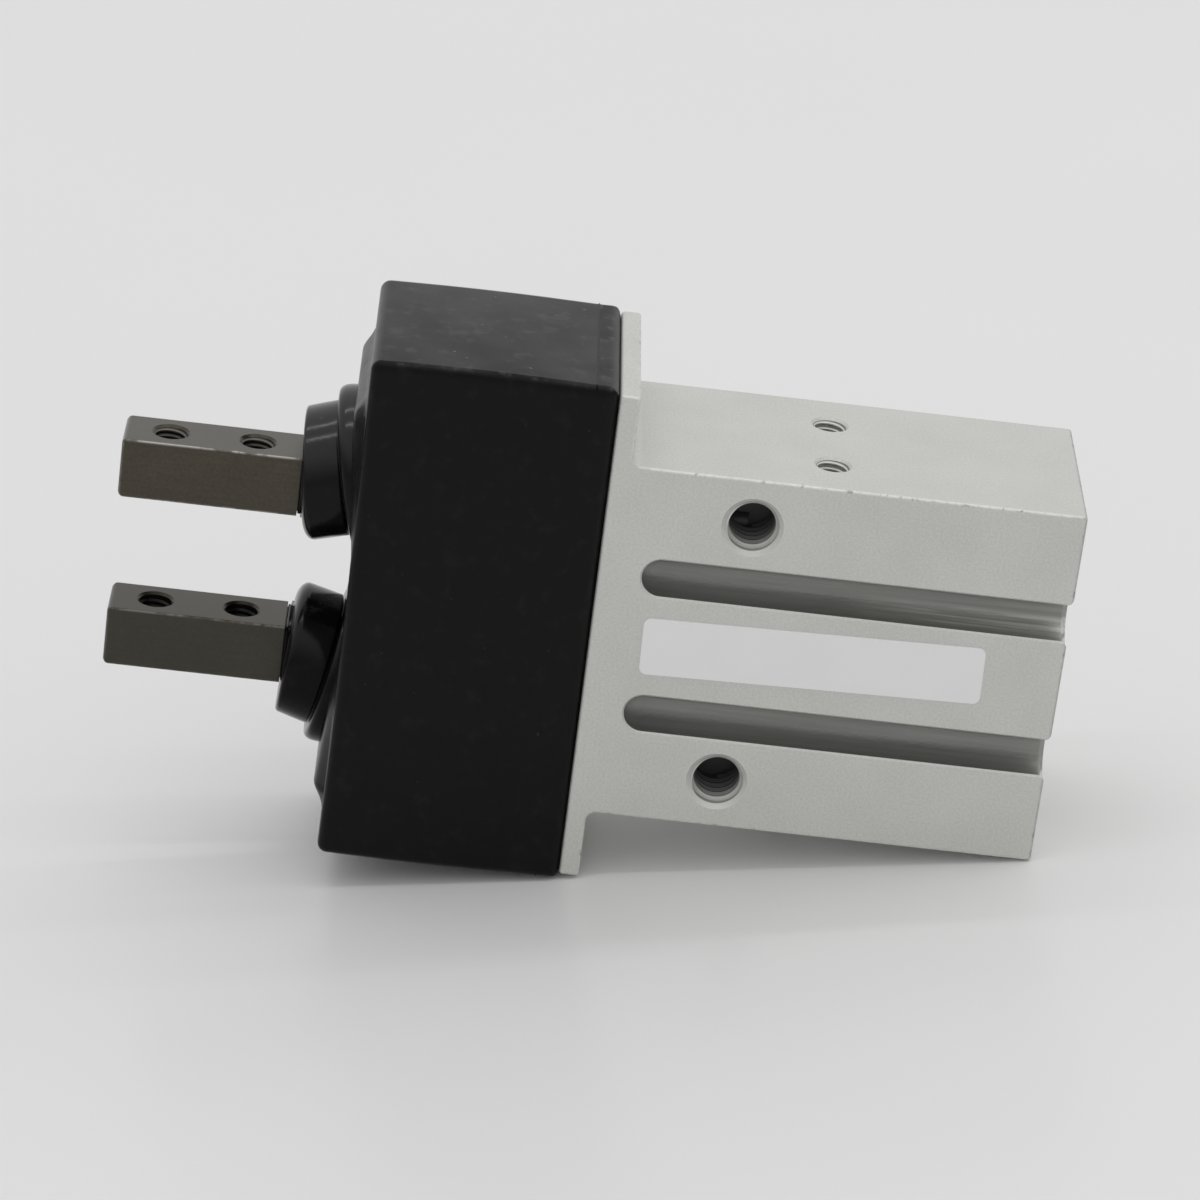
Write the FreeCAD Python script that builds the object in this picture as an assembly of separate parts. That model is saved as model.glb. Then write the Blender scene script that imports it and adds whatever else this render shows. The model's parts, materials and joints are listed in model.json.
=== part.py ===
import FreeCAD, Part
import math
import os

from FreeCAD import Vector

# Pneumatic parallel gripper, drawn closed. Millimetres, +Z up.
# The rear mounting face is the plane X = 0 and the fingers point to -X. The fingers open along Z.
# The air ports, the sensor grooves and the label are on the -Y face.
# The lengths inside the cylinder add up to the length of the body.

# Body block and flange
BODY_WIDTH = 30.0  # along Z
BODY_DEPTH = 18.4  # along Y
BODY_EDGE = 0.3  # rounding of the outer edges
FLANGE_OVERHANG = 5.75  # past the block, on each side
FLANGE_THICKNESS = 1.6
FLANGE_FILLET = 0.8  # between flange and block

# Front of the body, under the dust cover
SPIGOT_LENGTH = 3.0  # step that the rim of the cover grips
CHANNEL_DEPTH = 10.0  # channel that the finger slides run in
CHEEK_GAP = 0.4  # from the channel's cheeks to the cover
CHEEK_END_GAP = 2.8  # the same, at the ends of the channel

# Guide plates over the channel, with their screws and dowels
PLATE_THICKNESS = 2.0
PLATE_CLEARANCE = 0.15  # beside the neck of a finger
SCREW_RADIUS = 1.0
SCREW_WALL = 0.6  # left in the cheek beside a screw
SCREW_HEAD_STEP = 0.55  # head radius over the shank's
SCREW_LENGTH = 6.0
SCREW_END_MARGIN = 4.0  # from the end of the plate
SCREW_SOCKET_WIDTH = 1.3  # across flats
SCREW_SOCKET_DEPTH = 0.6
DOWEL_RADIUS = 0.75
DOWEL_LENGTH = 5.0

# Dust cover
COVER_WALL = 1.4
COVER_PROUD = 0.45  # how far the cover stands out past the flange's ends
COVER_PROUD_DEPTH = 0.2  # the same, on the -Y and +Y faces
COVER_FRONT_WALL = 1.5
COVER_ROOM = 1.75  # between the necks of the fingers and the front wall
COVER_EDGE = 0.6  # rounding of the outer edges
RIM_EDGE = 0.5  # rounding of the rim's outer edge
BEAD_HEIGHT = 0.5  # inner bead that snaps into the spigot
BEAD_WIDTH = 0.8
BEAD_INSET = 1.0  # from the rim
PAD_HEIGHT = 0.95  # of the sloping pads that carry the boots
PAD_INNER_OFFSET = 2.4  # from the gripper's axis to where a pad starts to rise
PAD_ROUNDING = 0.6
PAD_MARGIN = 0.97  # from a boot's root to the pad's end
PAD_BEVEL = 1.4
PAD_SIDE_MARGIN = 0.9  # from the cover's side to the pad's side

# Boots round the fingers
BOOT_LENGTH = 3.957
BOOT_ROOT_SHIFT = 1.49  # root's middle, outwards from a closed finger's middle
BOOT_CLEARANCE = 0.25  # between the finger and the boot's root
BOOT_WALL = 1.35
BOOT_LIP_WIDTH = 1.8  # from the finger's corners to the tip's rim
BOOT_TIP_WALL = 0.9
BOOT_NECK_WALL = 0.3
BOOT_NECK_STEP = 0.35  # neck radius under the tip's
BOOT_LEAN = 1.25  # how far a closed finger pulls the tip inwards
BOOT_TILT = 4.4  # degrees that the boot turns with it, past its root ring
BOOT_ROOT_SHARE = 0.243  # share of the length that the root ring takes
BOOT_NECK_SHARE = 0.045
BOOT_LIP_SHARE = 0.306  # share that the lip in the finger's groove takes
BOOT_FIT = 0.04  # between lip and finger

# Fingers
FINGER_GAP = 9.63  # between the closed fingers
FINGER_THICKNESS = 4.95  # along Z
FINGER_WIDTH = 5.16  # along Y
FINGER_REACH = 14.45  # past the boot
FINGER_TRAVEL = 2.0  # of each finger
FINGER_EDGE = 0.18  # rounding of the long edges
FINGER_TIP_ROUNDING = 0.45
FINGER_GROOVE_DEPTH = 0.35  # groove that the boot's lip sits in
FINGER_GROOVE_ROOM = 0.27  # before and behind the lip
FINGER_HOLE_FROM_TIP = 3.67
FINGER_HOLE_SPACING = 6.9
NECK_PROUD = 1.0  # thicker root of the finger, past the guide plates
NECK_SHOULDER = 2.0  # how much thicker on each side
SLIDE_MARGIN = 1.0  # from an open slide to the end of its channel
SLIDE_GAP = 1.2  # between the closed slides

# Wedge cam with its T rails
CAM_LENGTH = 7.0
CAM_NOSE_HEIGHT = 3.2  # at its front end
CAM_SLOPE = 0.5  # finger travel for each millimetre of piston travel
CAM_INSET = 0.08  # from the side of a finger to the side of the cam
CAM_FLOOR_GAP = 0.2  # behind the closed cam
RAIL_INSET = 0.1  # from the side of the cam to the side of its rail
RAIL_NECK_WIDTH = 2.4
RAIL_NECK_HEIGHT = 1.15
RAIL_HEAD_HEIGHT = 1.15
CAM_PIN_RADIUS = 0.75
CAM_PIN_FROM_REAR = 2.3

# Cylinder, piston and rod
BORE_RADIUS = 5.0
PISTON_CLEARANCE = 0.1  # all round the piston
PISTON_END_GAP = 0.05  # to the bumper that it stops on
REAR_HALF_LENGTH = 7.0
FRONT_HALF_LENGTH = 5.5
MAGNET_LENGTH = 3.0
MAGNET_WALL = 2.3
BUMPER_THICKNESS = 1.0
BUMPER_INSET = 0.9  # from the bore, so that air gets round it
ROD_RADIUS = 2.5
ROD_END_RADIUS = 1.5  # stepped ends in the cam and in the piston
ROD_TIP_LENGTH = 4.6
NUT_WIDTH = 5.5  # across flats
NUT_THICKNESS = 2.4
NUT_RECESS = 0.5  # from the back of the piston
PISTON_SEAL_WIDTH = 2.0
PISTON_SEAL_DEPTH = 1.3
PISTON_SEAL_LAND = 1.6  # from the front of the piston
WEAR_RING_WIDTH = 2.4
WEAR_RING_DEPTH = 0.6
WEAR_RING_LAND = 0.6  # from the nut's seat

# Rod seal and bush
SEAL_WALL = 1.8
SEAL_LENGTH = 2.1
SEAL_LIP = 0.5  # depth of the hollow face of the rod seal and of the piston seal
HOLDER_LENGTH = 1.0
BUSH_LENGTH = 9.0
BUSH_WALL = 1.0
BUSH_RECESS = 1.0  # under the floor of the channel

# Rear end: locating recess, retaining ring, end cap and its O-ring
RECESS_DEPTH = 1.2
RECESS_STEP = 1.0  # recess radius over the cap's
CAP_STEP = 1.0  # cap radius over the bore's
CAP_LENGTH = 3.0
O_RING_SECTION = 1.0
CLIP_LAND = 0.5  # from the recess to the ring groove
CLIP_THICKNESS = 0.8
CLIP_GROOVE_DEPTH = 0.45
CLIP_WIDTH = 1.2
CLIP_OPENING = 4.0  # between the ring's ends
CLIP_LUG_RADIUS = 1.1
CLIP_EYE_RADIUS = 0.45

# Tapped holes: radius of the wall, countersink past it, depth and place
PORT_RADIUS = 2.1
PORT_SINK = 0.35
PORT_DEPTH = 5.6
PORT_FROM_FLANGE = 9.88
PORT_FROM_SIDE = 3.98
SMALL_TAP_RADIUS = 1.32
SMALL_TAP_SINK = 0.2
SIDE_HOLE_DEPTH = 4.0
SIDE_HOLE_FROM_REAR = 19.8
SIDE_HOLE_SPACING = 8.3
REAR_TAP_RADIUS = 1.75
REAR_TAP_SINK = 0.3
REAR_HOLE_DEPTH = 7.0
REAR_HOLE_FROM_SIDE = 4.0

# Air passages, drilled from the floor of the channel and plugged there
PASSAGE_RADIUS = 0.75
PASSAGE_OVERLAP = 0.4  # how far a passage's axis lies inside its port
PASSAGE_TURN = 6.5  # from the rear end of the bore to the bend of the lower passage
PLUG_RADIUS = 1.0
PLUG_DEPTH = 0.4  # under the floor of the channel

# Sensor grooves and label
GROOVE_MOUTH = 2.9  # width under its chamfer
GROOVE_SINK = 1.18  # depth of the groove's axis
GROOVE_OFFSET = 5.86  # from the gripper's axis
GROOVE_FRONT_MARGIN = 1.95  # from the flange
GROOVE_CHAMFER = 0.25
GROOVE_FLARE = 0.4  # at the rear face
LABEL_THICKNESS = 0.12
LABEL_WIDTH = 4.8
LABEL_REAR_MARGIN = 6.16
LABEL_FRONT_MARGIN = 2.53
LABEL_OFFSET = 0.33  # from the gripper's axis
LABEL_CORNER = 0.6
LABEL_SKEW = 1.3  # degrees, as it was stuck on

# Fits
SLIDE_FIT = 0.05  # between the slides and their guides, and round the moving seals
RAIL_FIT = 0.06  # between the cam's rails and their slots
RUNNING_FIT = 0.03  # between the rod and its bush
SEAT_FIT = 0.02  # between pieces that are fastened together
OVERCUT = 1.0  # how far cutters run past a face

# Stations along X inside the cylinder, from the rear face forwards
clip_rear = -RECESS_DEPTH - CLIP_LAND
clip_front = clip_rear - CLIP_THICKNESS
cap_rear = clip_front - SEAT_FIT
cap_front = cap_rear - CAP_LENGTH
rear_bumper_front = cap_front - BUMPER_THICKNESS
piston_rear = rear_bumper_front - PISTON_END_GAP
nut_rear = piston_rear - NUT_RECESS
nut_seat = nut_rear - NUT_THICKNESS
magnet_rear = piston_rear - REAR_HALF_LENGTH
magnet_front = magnet_rear - MAGNET_LENGTH
piston_front = magnet_front - FRONT_HALF_LENGTH
piston_stroke = FINGER_TRAVEL / CAM_SLOPE
front_bumper_rear = piston_front - piston_stroke - PISTON_END_GAP
bore_front = front_bumper_rear - BUMPER_THICKNESS
holder_front = bore_front - HOLDER_LENGTH
seal_front = holder_front - SEAL_LENGTH
bush_front = seal_front - BUSH_LENGTH

# Stations along X in front of the cylinder
channel_floor = bush_front - BUSH_RECESS
flange_front = channel_floor + SPIGOT_LENGTH
flange_rear = flange_front + FLANGE_THICKNESS
cam_rear = channel_floor - CAM_FLOOR_GAP
cam_front = cam_rear - CAM_LENGTH
channel_front = channel_floor - CHANNEL_DEPTH
plate_front = channel_front - PLATE_THICKNESS
neck_front = plate_front - NECK_PROUD
cover_inside = neck_front - COVER_ROOM
cover_front = cover_inside - COVER_FRONT_WALL
pad_front = cover_front - PAD_HEIGHT
slide_front = channel_front + SLIDE_FIT
slide_rear = channel_floor - SLIDE_FIT
bead_rear = flange_front - BEAD_INSET
bead_front = bead_rear - BEAD_WIDTH

# Half sizes of the body and the cover
half_depth = BODY_DEPTH / 2
half_width = BODY_WIDTH / 2
half_flange = half_width + FLANGE_OVERHANG
cover_half_width = half_flange + COVER_PROUD
cover_half_depth = half_depth + COVER_PROUD_DEPTH
cavity_half_width = cover_half_width - COVER_WALL
cavity_half_depth = cover_half_depth - COVER_WALL
bead_half_width = cavity_half_width - BEAD_HEIGHT
bead_half_depth = cavity_half_depth - BEAD_HEIGHT

# Channel, guide plates and fingers
cheek_outside = cavity_half_depth - CHEEK_GAP
cheek_middle = cheek_outside - SCREW_WALL - SCREW_RADIUS
half_channel = cheek_middle - SCREW_WALL - SCREW_RADIUS
cheek_half_length = cavity_half_width - CHEEK_END_GAP
screw_head_radius = SCREW_RADIUS + SCREW_HEAD_STEP
screw_offset = cheek_half_length - SCREW_END_MARGIN
half_finger_width = FINGER_WIDTH / 2
finger_inside = FINGER_GAP / 2
finger_outside = finger_inside + FINGER_THICKNESS
finger_middle = finger_inside + FINGER_THICKNESS / 2
slide_outside = cheek_half_length - FINGER_TRAVEL - SLIDE_MARGIN
half_cam_width = half_finger_width - CAM_INSET
half_rail_width = half_cam_width - RAIL_INSET
half_rail_neck = RAIL_NECK_WIDTH / 2
rail_height = RAIL_NECK_HEIGHT + RAIL_HEAD_HEIGHT

# Boots, and the pads that slope up under them
boot_root_offset = finger_middle + BOOT_ROOT_SHIFT
boot_hole_radius = math.hypot(half_finger_width, FINGER_THICKNESS / 2 + BOOT_ROOT_SHIFT) + BOOT_CLEARANCE
boot_root_radius = boot_hole_radius + BOOT_WALL
boot_tip_radius = math.hypot(half_finger_width, FINGER_THICKNESS / 2) + BOOT_LIP_WIDTH
boot_neck_radius = boot_tip_radius - BOOT_NECK_STEP
boot_rise = math.tan(math.radians(BOOT_TILT))
pad_end = boot_root_offset + boot_root_radius + PAD_MARGIN
pad_rise = PAD_HEIGHT / (pad_end - PAD_INNER_OFFSET)
boot_root = cover_front - pad_rise * (boot_root_offset - PAD_INNER_OFFSET)
boot_tip = boot_root - BOOT_LENGTH
finger_tip = boot_tip - FINGER_REACH
lip_rear = boot_tip + BOOT_LENGTH * BOOT_LIP_SHARE

# Radii about the gripper's axis
piston_radius = BORE_RADIUS - PISTON_CLEARANCE
bumper_radius = BORE_RADIUS - BUMPER_INSET
bumper_hole_radius = ROD_RADIUS + BUMPER_INSET
magnet_hole_radius = piston_radius - MAGNET_WALL
rod_hole_radius = ROD_END_RADIUS + SEAT_FIT
cap_radius = BORE_RADIUS + CAP_STEP
recess_radius = cap_radius + RECESS_STEP
clip_groove_radius = cap_radius + CLIP_GROOVE_DEPTH
seal_radius = ROD_RADIUS + SEAL_WALL
bush_radius = ROD_RADIUS + BUSH_WALL

# Ports and passages
port_x = flange_rear + PORT_FROM_FLANGE
port_z = half_width - PORT_FROM_SIDE
passage_y = PORT_DEPTH - PASSAGE_OVERLAP - half_depth
passage_z = port_z - PORT_RADIUS + PASSAGE_OVERLAP


def box(x0, x1, y0, y1, z0, z1):
    """Box between two corners."""
    return Part.makeBox(x1 - x0, y1 - y0, z1 - z0, Vector(x0, y0, z0))


def centred_box(x0, x1, half_y, half_z):
    """Box that is centred on the gripper's axis."""
    return box(x0, x1, -half_y, half_y, -half_z, half_z)


def drill(start, end, radius):
    """Cylinder from one point to another."""
    way = end - start
    return Part.makeCylinder(radius, way.Length, start, way)


def bar(x0, x1, y, z, radius):
    """Cylinder along X."""
    return drill(Vector(x0, y, z), Vector(x1, y, z), radius)


def turned(outline):
    """Solid of revolution about the gripper's axis, from its (x, radius) corners."""
    corners = [Vector(x, 0, radius) for x, radius in outline]
    face = Part.Face(Part.makePolygon(corners + corners[:1]))
    return face.revolve(Vector(0, 0, 0), Vector(1, 0, 0), 360)


def ring(x0, x1, outer, inner):
    """Plain turned ring."""
    return turned([(x0, inner), (x1, inner), (x1, outer), (x0, outer)])


def prism(outline, half_y):
    """Solid from its (x, z) outline, the same thickness to both sides in Y."""
    corners = [Vector(x, -half_y, z) for x, z in outline]
    face = Part.Face(Part.makePolygon(corners + corners[:1]))
    return face.extrude(Vector(0, 2 * half_y, 0))


def hexagon(width, x0, x1, y, z):
    """Hexagonal bar along X, with its width across flats."""
    corner_radius = width / math.sqrt(3)
    corners = []
    for index in range(6):
        angle = math.radians(60 * index)
        corners.append(Vector(x0, y + corner_radius * math.cos(angle), z + corner_radius * math.sin(angle)))
    return Part.Face(Part.makePolygon(corners + corners[:1])).extrude(Vector(x1 - x0, 0, 0))


def tapped_hole(mouth, inwards, radius, depth, sink):
    """Cutter for a tapped hole with its countersink."""
    hole = Part.makeCylinder(radius, depth, mouth, inwards)
    return hole.fuse(Part.makeCone(radius + sink, radius, sink, mouth, inwards))


def lower(shape):
    """The same shape on the lower side."""
    return shape.mirror(Vector(0, 0, 0), Vector(0, 0, 1))


def back(shape):
    """The same shape on the +Y side."""
    return shape.mirror(Vector(0, 0, 0), Vector(0, 1, 0))


def one_solid(shape):
    """The single solid of a finished piece, with leftover seams taken out."""
    return shape.removeSplitter().Solids[0]


def near(value, target):
    """Whether two lengths are the same to within rounding."""
    return abs(value - target) < 0.001


def edges_with(shape, test):
    """Edges whose end points all pass a test."""
    return [edge for edge in shape.Edges if all(test(vertex.Point) for vertex in edge.Vertexes)]


def edges_of_length(shape, length):
    """Edges of one length."""
    return [edge for edge in shape.Edges if near(edge.Length, length)]


def screw_places():
    """Y and Z of the guide plate screws."""
    return [(side * cheek_middle, row * screw_offset) for side in (-1, 1) for row in (-1, 0, 1)]


def dowel_places():
    """Y and Z of the guide plate dowels, half way between the screws."""
    return [(side * cheek_middle, row * screw_offset / 2) for side in (-1, 1) for row in (-1, 1)]


def block_with_flange():
    """Outer form of the body, with rounded edges."""
    upper_half = [
        (0, half_width),
        (flange_rear, half_width),
        (flange_rear, half_flange),
        (flange_front, half_flange),
    ]
    lower_half = [(x, -z) for x, z in reversed(upper_half)]
    block = prism(upper_half + lower_half, half_depth)

    def inner_corner(point):
        return near(point.x, flange_rear) and near(abs(point.z), half_width)

    def outer_corner(point):
        return near(point.x, 0) or near(abs(point.z), half_flange)

    block = block.makeFillet(FLANGE_FILLET, edges_with(block, inner_corner))
    along_y = [edge for edge in edges_with(block, outer_corner) if near(edge.Length, BODY_DEPTH)]
    front_outline = edges_with(block, lambda point: near(point.y, -half_depth))
    back_outline = edges_with(block, lambda point: near(point.y, half_depth))
    return block.makeFillet(BODY_EDGE, along_y + front_outline + back_outline)


def cylinder_cutter():
    """Everything that is bored along the axis, from the rear face to the channel."""
    return turned([
        (OVERCUT, 0),
        (OVERCUT, recess_radius),
        (-RECESS_DEPTH, recess_radius),
        (-RECESS_DEPTH, cap_radius),
        (clip_rear + SEAT_FIT, cap_radius),
        (clip_rear + SEAT_FIT, clip_groove_radius),
        (clip_front - SEAT_FIT, clip_groove_radius),
        (clip_front - SEAT_FIT, cap_radius),
        (cap_front, cap_radius),
        (cap_front, BORE_RADIUS),
        (bore_front, BORE_RADIUS),
        (bore_front, seal_radius),
        (seal_front, seal_radius),
        (seal_front, bush_radius),
        (channel_floor - OVERCUT, bush_radius),
        (channel_floor - OVERCUT, 0),
    ])


def slot_outline(end_x, half_mouth, y):
    """Outline of a slot with one round end, in a plane of constant Y."""
    top = Vector(end_x, y, GROOVE_OFFSET + half_mouth)
    tip = Vector(end_x - half_mouth, y, GROOVE_OFFSET)
    bottom = Vector(end_x, y, GROOVE_OFFSET - half_mouth)
    rear_bottom = Vector(OVERCUT, y, bottom.z)
    rear_top = Vector(OVERCUT, y, top.z)
    return Part.Wire([
        Part.Arc(top, tip, bottom).toShape(),
        Part.makeLine(bottom, rear_bottom),
        Part.makeLine(rear_bottom, rear_top),
        Part.makeLine(rear_top, top),
    ])


def groove_cutter():
    """Upper sensor groove: round-bottomed, with chamfered edges, open and flared at the rear face."""
    half_mouth = GROOVE_MOUTH / 2
    radius = math.hypot(half_mouth, GROOVE_SINK)
    end_x = flange_rear + GROOVE_FRONT_MARGIN + half_mouth
    axis_y = GROOVE_SINK - half_depth
    end_ball = Part.makeSphere(radius, Vector(end_x, axis_y, GROOVE_OFFSET))
    flare_start = Vector(-GROOVE_FLARE, axis_y, GROOVE_OFFSET)
    flare = Part.makeCone(radius, radius + GROOVE_FLARE, GROOVE_FLARE, flare_start, Vector(1, 0, 0))
    chamfer_top = slot_outline(end_x, half_mouth + GROOVE_CHAMFER, -half_depth)
    chamfer_foot = slot_outline(end_x, half_mouth, GROOVE_CHAMFER - half_depth)
    chamfer = Part.makeLoft([chamfer_top, chamfer_foot], True, True)
    return bar(end_x, OVERCUT, axis_y, GROOVE_OFFSET, radius).fuse([end_ball, flare, chamfer])


def passage_cutters():
    """Air passages from each port to its end of the cylinder, with the seats of their plugs."""
    mouth = Vector(channel_floor, passage_y, passage_z)
    wall = BORE_RADIUS - PASSAGE_RADIUS
    wall_y = -wall / 2
    wall_z = math.sqrt(wall ** 2 - wall_y ** 2)
    front_chamber = Vector(bore_front + BUMPER_THICKNESS, wall_y, wall_z)
    rear_chamber = Vector(cap_front - PASSAGE_RADIUS, wall_y, -wall_z)
    bend = Vector(cap_front - PASSAGE_TURN, passage_y, -passage_z)
    seat_end = channel_floor + PLUG_DEPTH + 2 * PLUG_RADIUS
    seat = bar(channel_floor - OVERCUT, seat_end, passage_y, passage_z, PLUG_RADIUS + SEAT_FIT)
    return [
        drill(mouth, Vector(port_x, passage_y, passage_z), PASSAGE_RADIUS),
        drill(mouth, front_chamber, PASSAGE_RADIUS),
        drill(Vector(channel_floor, passage_y, -passage_z), bend, PASSAGE_RADIUS),
        drill(bend, rear_chamber, PASSAGE_RADIUS),
        seat,
        lower(seat),
    ]


def body_holes():
    """Cutters for the ports, the tapped holes and the holes for the guide plates."""
    holes = []
    for side in (-1, 1):
        port = Vector(port_x, -half_depth, side * port_z)
        holes.append(tapped_hole(port, Vector(0, 1, 0), PORT_RADIUS, PORT_DEPTH, PORT_SINK))
        rear = Vector(0, 0, side * (half_width - REAR_HOLE_FROM_SIDE))
        holes.append(tapped_hole(rear, Vector(-1, 0, 0), REAR_TAP_RADIUS, REAR_HOLE_DEPTH, REAR_TAP_SINK))
        inwards = Vector(0, 0, -side)
        for row in (-1, 1):
            place = Vector(-SIDE_HOLE_FROM_REAR, row * SIDE_HOLE_SPACING / 2, side * half_width)
            holes.append(tapped_hole(place, inwards, SMALL_TAP_RADIUS, SIDE_HOLE_DEPTH, SMALL_TAP_SINK))
    for y, z in screw_places():
        holes.append(bar(plate_front, plate_front + SCREW_LENGTH + SEAT_FIT, y, z, SCREW_RADIUS + SEAT_FIT))
    for y, z in dowel_places():
        holes.append(bar(plate_front, plate_front + DOWEL_LENGTH + SEAT_FIT, y, z, DOWEL_RADIUS + SEAT_FIT))
    return holes


def make_body():
    """Block with its flange, the spigot for the cover and the channel for the finger slides."""
    spigot_half_depth = cavity_half_depth - SEAT_FIT
    spigot_half_width = cavity_half_width - SEAT_FIT
    spigot = centred_box(channel_floor, flange_front, spigot_half_depth, spigot_half_width)
    groove_front = bead_front - SEAT_FIT
    groove_rear = bead_rear + SEAT_FIT
    bead_groove = centred_box(groove_front, groove_rear, cover_half_depth, cover_half_width)
    groove_floor_depth = bead_half_depth - SEAT_FIT
    groove_floor_width = bead_half_width - SEAT_FIT
    groove_floor = centred_box(channel_floor, flange_front, groove_floor_depth, groove_floor_width)
    spigot = spigot.cut(bead_groove.cut(groove_floor))
    half_length = cheek_half_length
    cheek = box(channel_front, channel_floor, -cheek_outside, -half_channel, -half_length, half_length)
    body = block_with_flange().fuse([spigot, cheek, back(cheek)])
    groove = groove_cutter()
    cutters = [cylinder_cutter(), groove, lower(groove)]
    return one_solid(body.cut(cutters + passage_cutters() + body_holes()))


def make_cover_pad():
    """Upper pad on the front of the cover, sloping up to its bevelled end."""
    pad_root = cover_front + COVER_FRONT_WALL / 2
    outline = [
        (pad_root, PAD_INNER_OFFSET),
        (cover_front, PAD_INNER_OFFSET),
        (pad_front, pad_end),
        (cover_front, pad_end + PAD_BEVEL),
        (pad_root, pad_end + PAD_BEVEL),
    ]
    pad = prism(outline, cover_half_depth - PAD_SIDE_MARGIN)
    ridge = edges_with(pad, lambda point: near(point.x, pad_front))
    slope_length = math.hypot(pad_end - PAD_INNER_OFFSET, PAD_HEIGHT)
    return pad.makeFillet(PAD_ROUNDING, ridge + edges_of_length(pad, slope_length))


def make_dust_cover():
    """Rubber cap with an inner bead at its rim and a raised pad under each boot."""
    outside = centred_box(cover_front, flange_front, cover_half_depth, cover_half_width)
    long_edges = edges_of_length(outside, flange_front - cover_front)
    front_edges = edges_with(outside, lambda point: near(point.x, cover_front))
    outside = outside.makeFillet(COVER_EDGE, long_edges + front_edges)
    outside = outside.makeFillet(RIM_EDGE, edges_with(outside, lambda point: near(point.x, flange_front)))
    cavity = centred_box(cover_inside, flange_front + OVERCUT, cavity_half_depth, cavity_half_width)
    bead = centred_box(bead_front, bead_rear, cavity_half_depth, cavity_half_width)
    bead_opening = centred_box(cover_inside, flange_front, bead_half_depth, bead_half_width)
    pad = make_cover_pad()
    cover = outside.fuse([pad, lower(pad)]).cut(cavity).fuse(bead.cut(bead_opening))
    hole = bar(pad_front - OVERCUT, cover_inside + OVERCUT, 0, boot_root_offset, boot_hole_radius)
    return one_solid(cover.cut([hole, lower(hole)]))


def finger_core(x0, x1, inset):
    """Box along the upper finger, set in from its four sides."""
    half = half_finger_width - inset
    return box(x0, x1, -half, half, finger_inside + inset, finger_outside - inset)


def boot_section(share, radius):
    """Circle round the upper boot, a share of the way from its root to its tip."""
    turn = min(share / BOOT_ROOT_SHARE, 1)
    pull = max(share - BOOT_ROOT_SHARE, 0) / (1 - BOOT_ROOT_SHARE)
    rise = pad_rise + turn * (boot_rise - pad_rise)
    centre = Vector(boot_root - BOOT_LENGTH * share, 0, boot_root_offset - BOOT_LEAN * pull)
    return Part.Wire(Part.makeCircle(radius, centre, Vector(-1, 0, -rise)))


def boot_span(share0, radius0, share1, radius1):
    """Stretch of the boot between two of its sections."""
    return Part.makeLoft([boot_section(share0, radius0), boot_section(share1, radius1)], True, True)


def make_boot():
    """Upper boot: root ring, neck and the tip ring with its lip, pulled inwards by the closed finger."""
    neck_start = BOOT_ROOT_SHARE
    neck_end = BOOT_ROOT_SHARE + BOOT_NECK_SHARE
    root = boot_span(0, boot_root_radius, neck_start, boot_root_radius)
    neck = boot_span(neck_start, boot_neck_radius, neck_end, boot_neck_radius)
    tip = boot_span(neck_end, boot_tip_radius, 1, boot_tip_radius)
    bore_radius = boot_neck_radius - BOOT_NECK_WALL
    root_bore = boot_span(0, boot_hole_radius, neck_start, bore_radius)
    tip_bore = boot_span(neck_start, bore_radius, 1 - BOOT_LIP_SHARE, boot_tip_radius - BOOT_TIP_WALL)
    opening = finger_core(finger_tip, lip_rear + FINGER_GROOVE_ROOM, FINGER_GROOVE_DEPTH - BOOT_FIT)
    return one_solid(root.fuse([neck, tip]).cut([root_bore, tip_bore, opening]))


def make_guide_plate():
    """Plate on the -Y side of the channel."""
    inner_edge = half_finger_width + PLATE_CLEARANCE
    half_length = cheek_half_length
    plate = box(plate_front, channel_front, -cheek_outside, -inner_edge, -half_length, half_length)
    holes = []
    for y, z in screw_places():
        top = Vector(plate_front, y, z)
        holes.append(
            tapped_hole(top, Vector(1, 0, 0), SCREW_RADIUS + SEAT_FIT, PLATE_THICKNESS, SCREW_HEAD_STEP)
        )
    for y, z in dowel_places():
        holes.append(bar(plate_front, channel_front, y, z, DOWEL_RADIUS + SEAT_FIT))
    return one_solid(plate.cut(holes))


def make_guide_screws():
    """Countersunk screws with hexagon sockets."""
    screws = []
    for y, z in screw_places():
        top = Vector(plate_front, y, z)
        head = Part.makeCone(screw_head_radius, SCREW_RADIUS, SCREW_HEAD_STEP, top, Vector(1, 0, 0))
        shank = bar(plate_front, plate_front + SCREW_LENGTH, y, z, SCREW_RADIUS)
        socket = hexagon(SCREW_SOCKET_WIDTH, plate_front, plate_front + SCREW_SOCKET_DEPTH, y, z)
        screws.append(one_solid(shank.fuse(head).cut(socket)))
    return Part.makeCompound(screws)


def make_guide_dowels():
    """Parallel pins that locate the guide plates."""
    pin_rear = plate_front + DOWEL_LENGTH
    return Part.makeCompound([bar(plate_front, pin_rear, y, z, DOWEL_RADIUS) for y, z in dowel_places()])


def cam_height(x):
    """Half height of the cam's core at a station, with the fingers closed."""
    return CAM_NOSE_HEIGHT / 2 + CAM_SLOPE * (x - cam_front)


def slanted(x0, x1, from_core, to_core, half_y):
    """Bar along the cam's slope, between two heights over its core."""
    outline = [
        (x0, cam_height(x0) + from_core),
        (x1, cam_height(x1) + from_core),
        (x1, cam_height(x1) + to_core),
        (x0, cam_height(x0) + to_core),
    ]
    return prism(outline, half_y)


def pin_bar(radius):
    """Bar across the cam where its pin goes."""
    x = cam_rear - CAM_PIN_FROM_REAR
    return drill(Vector(x, -half_cam_width, 0), Vector(x, half_cam_width, 0), radius)


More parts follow.
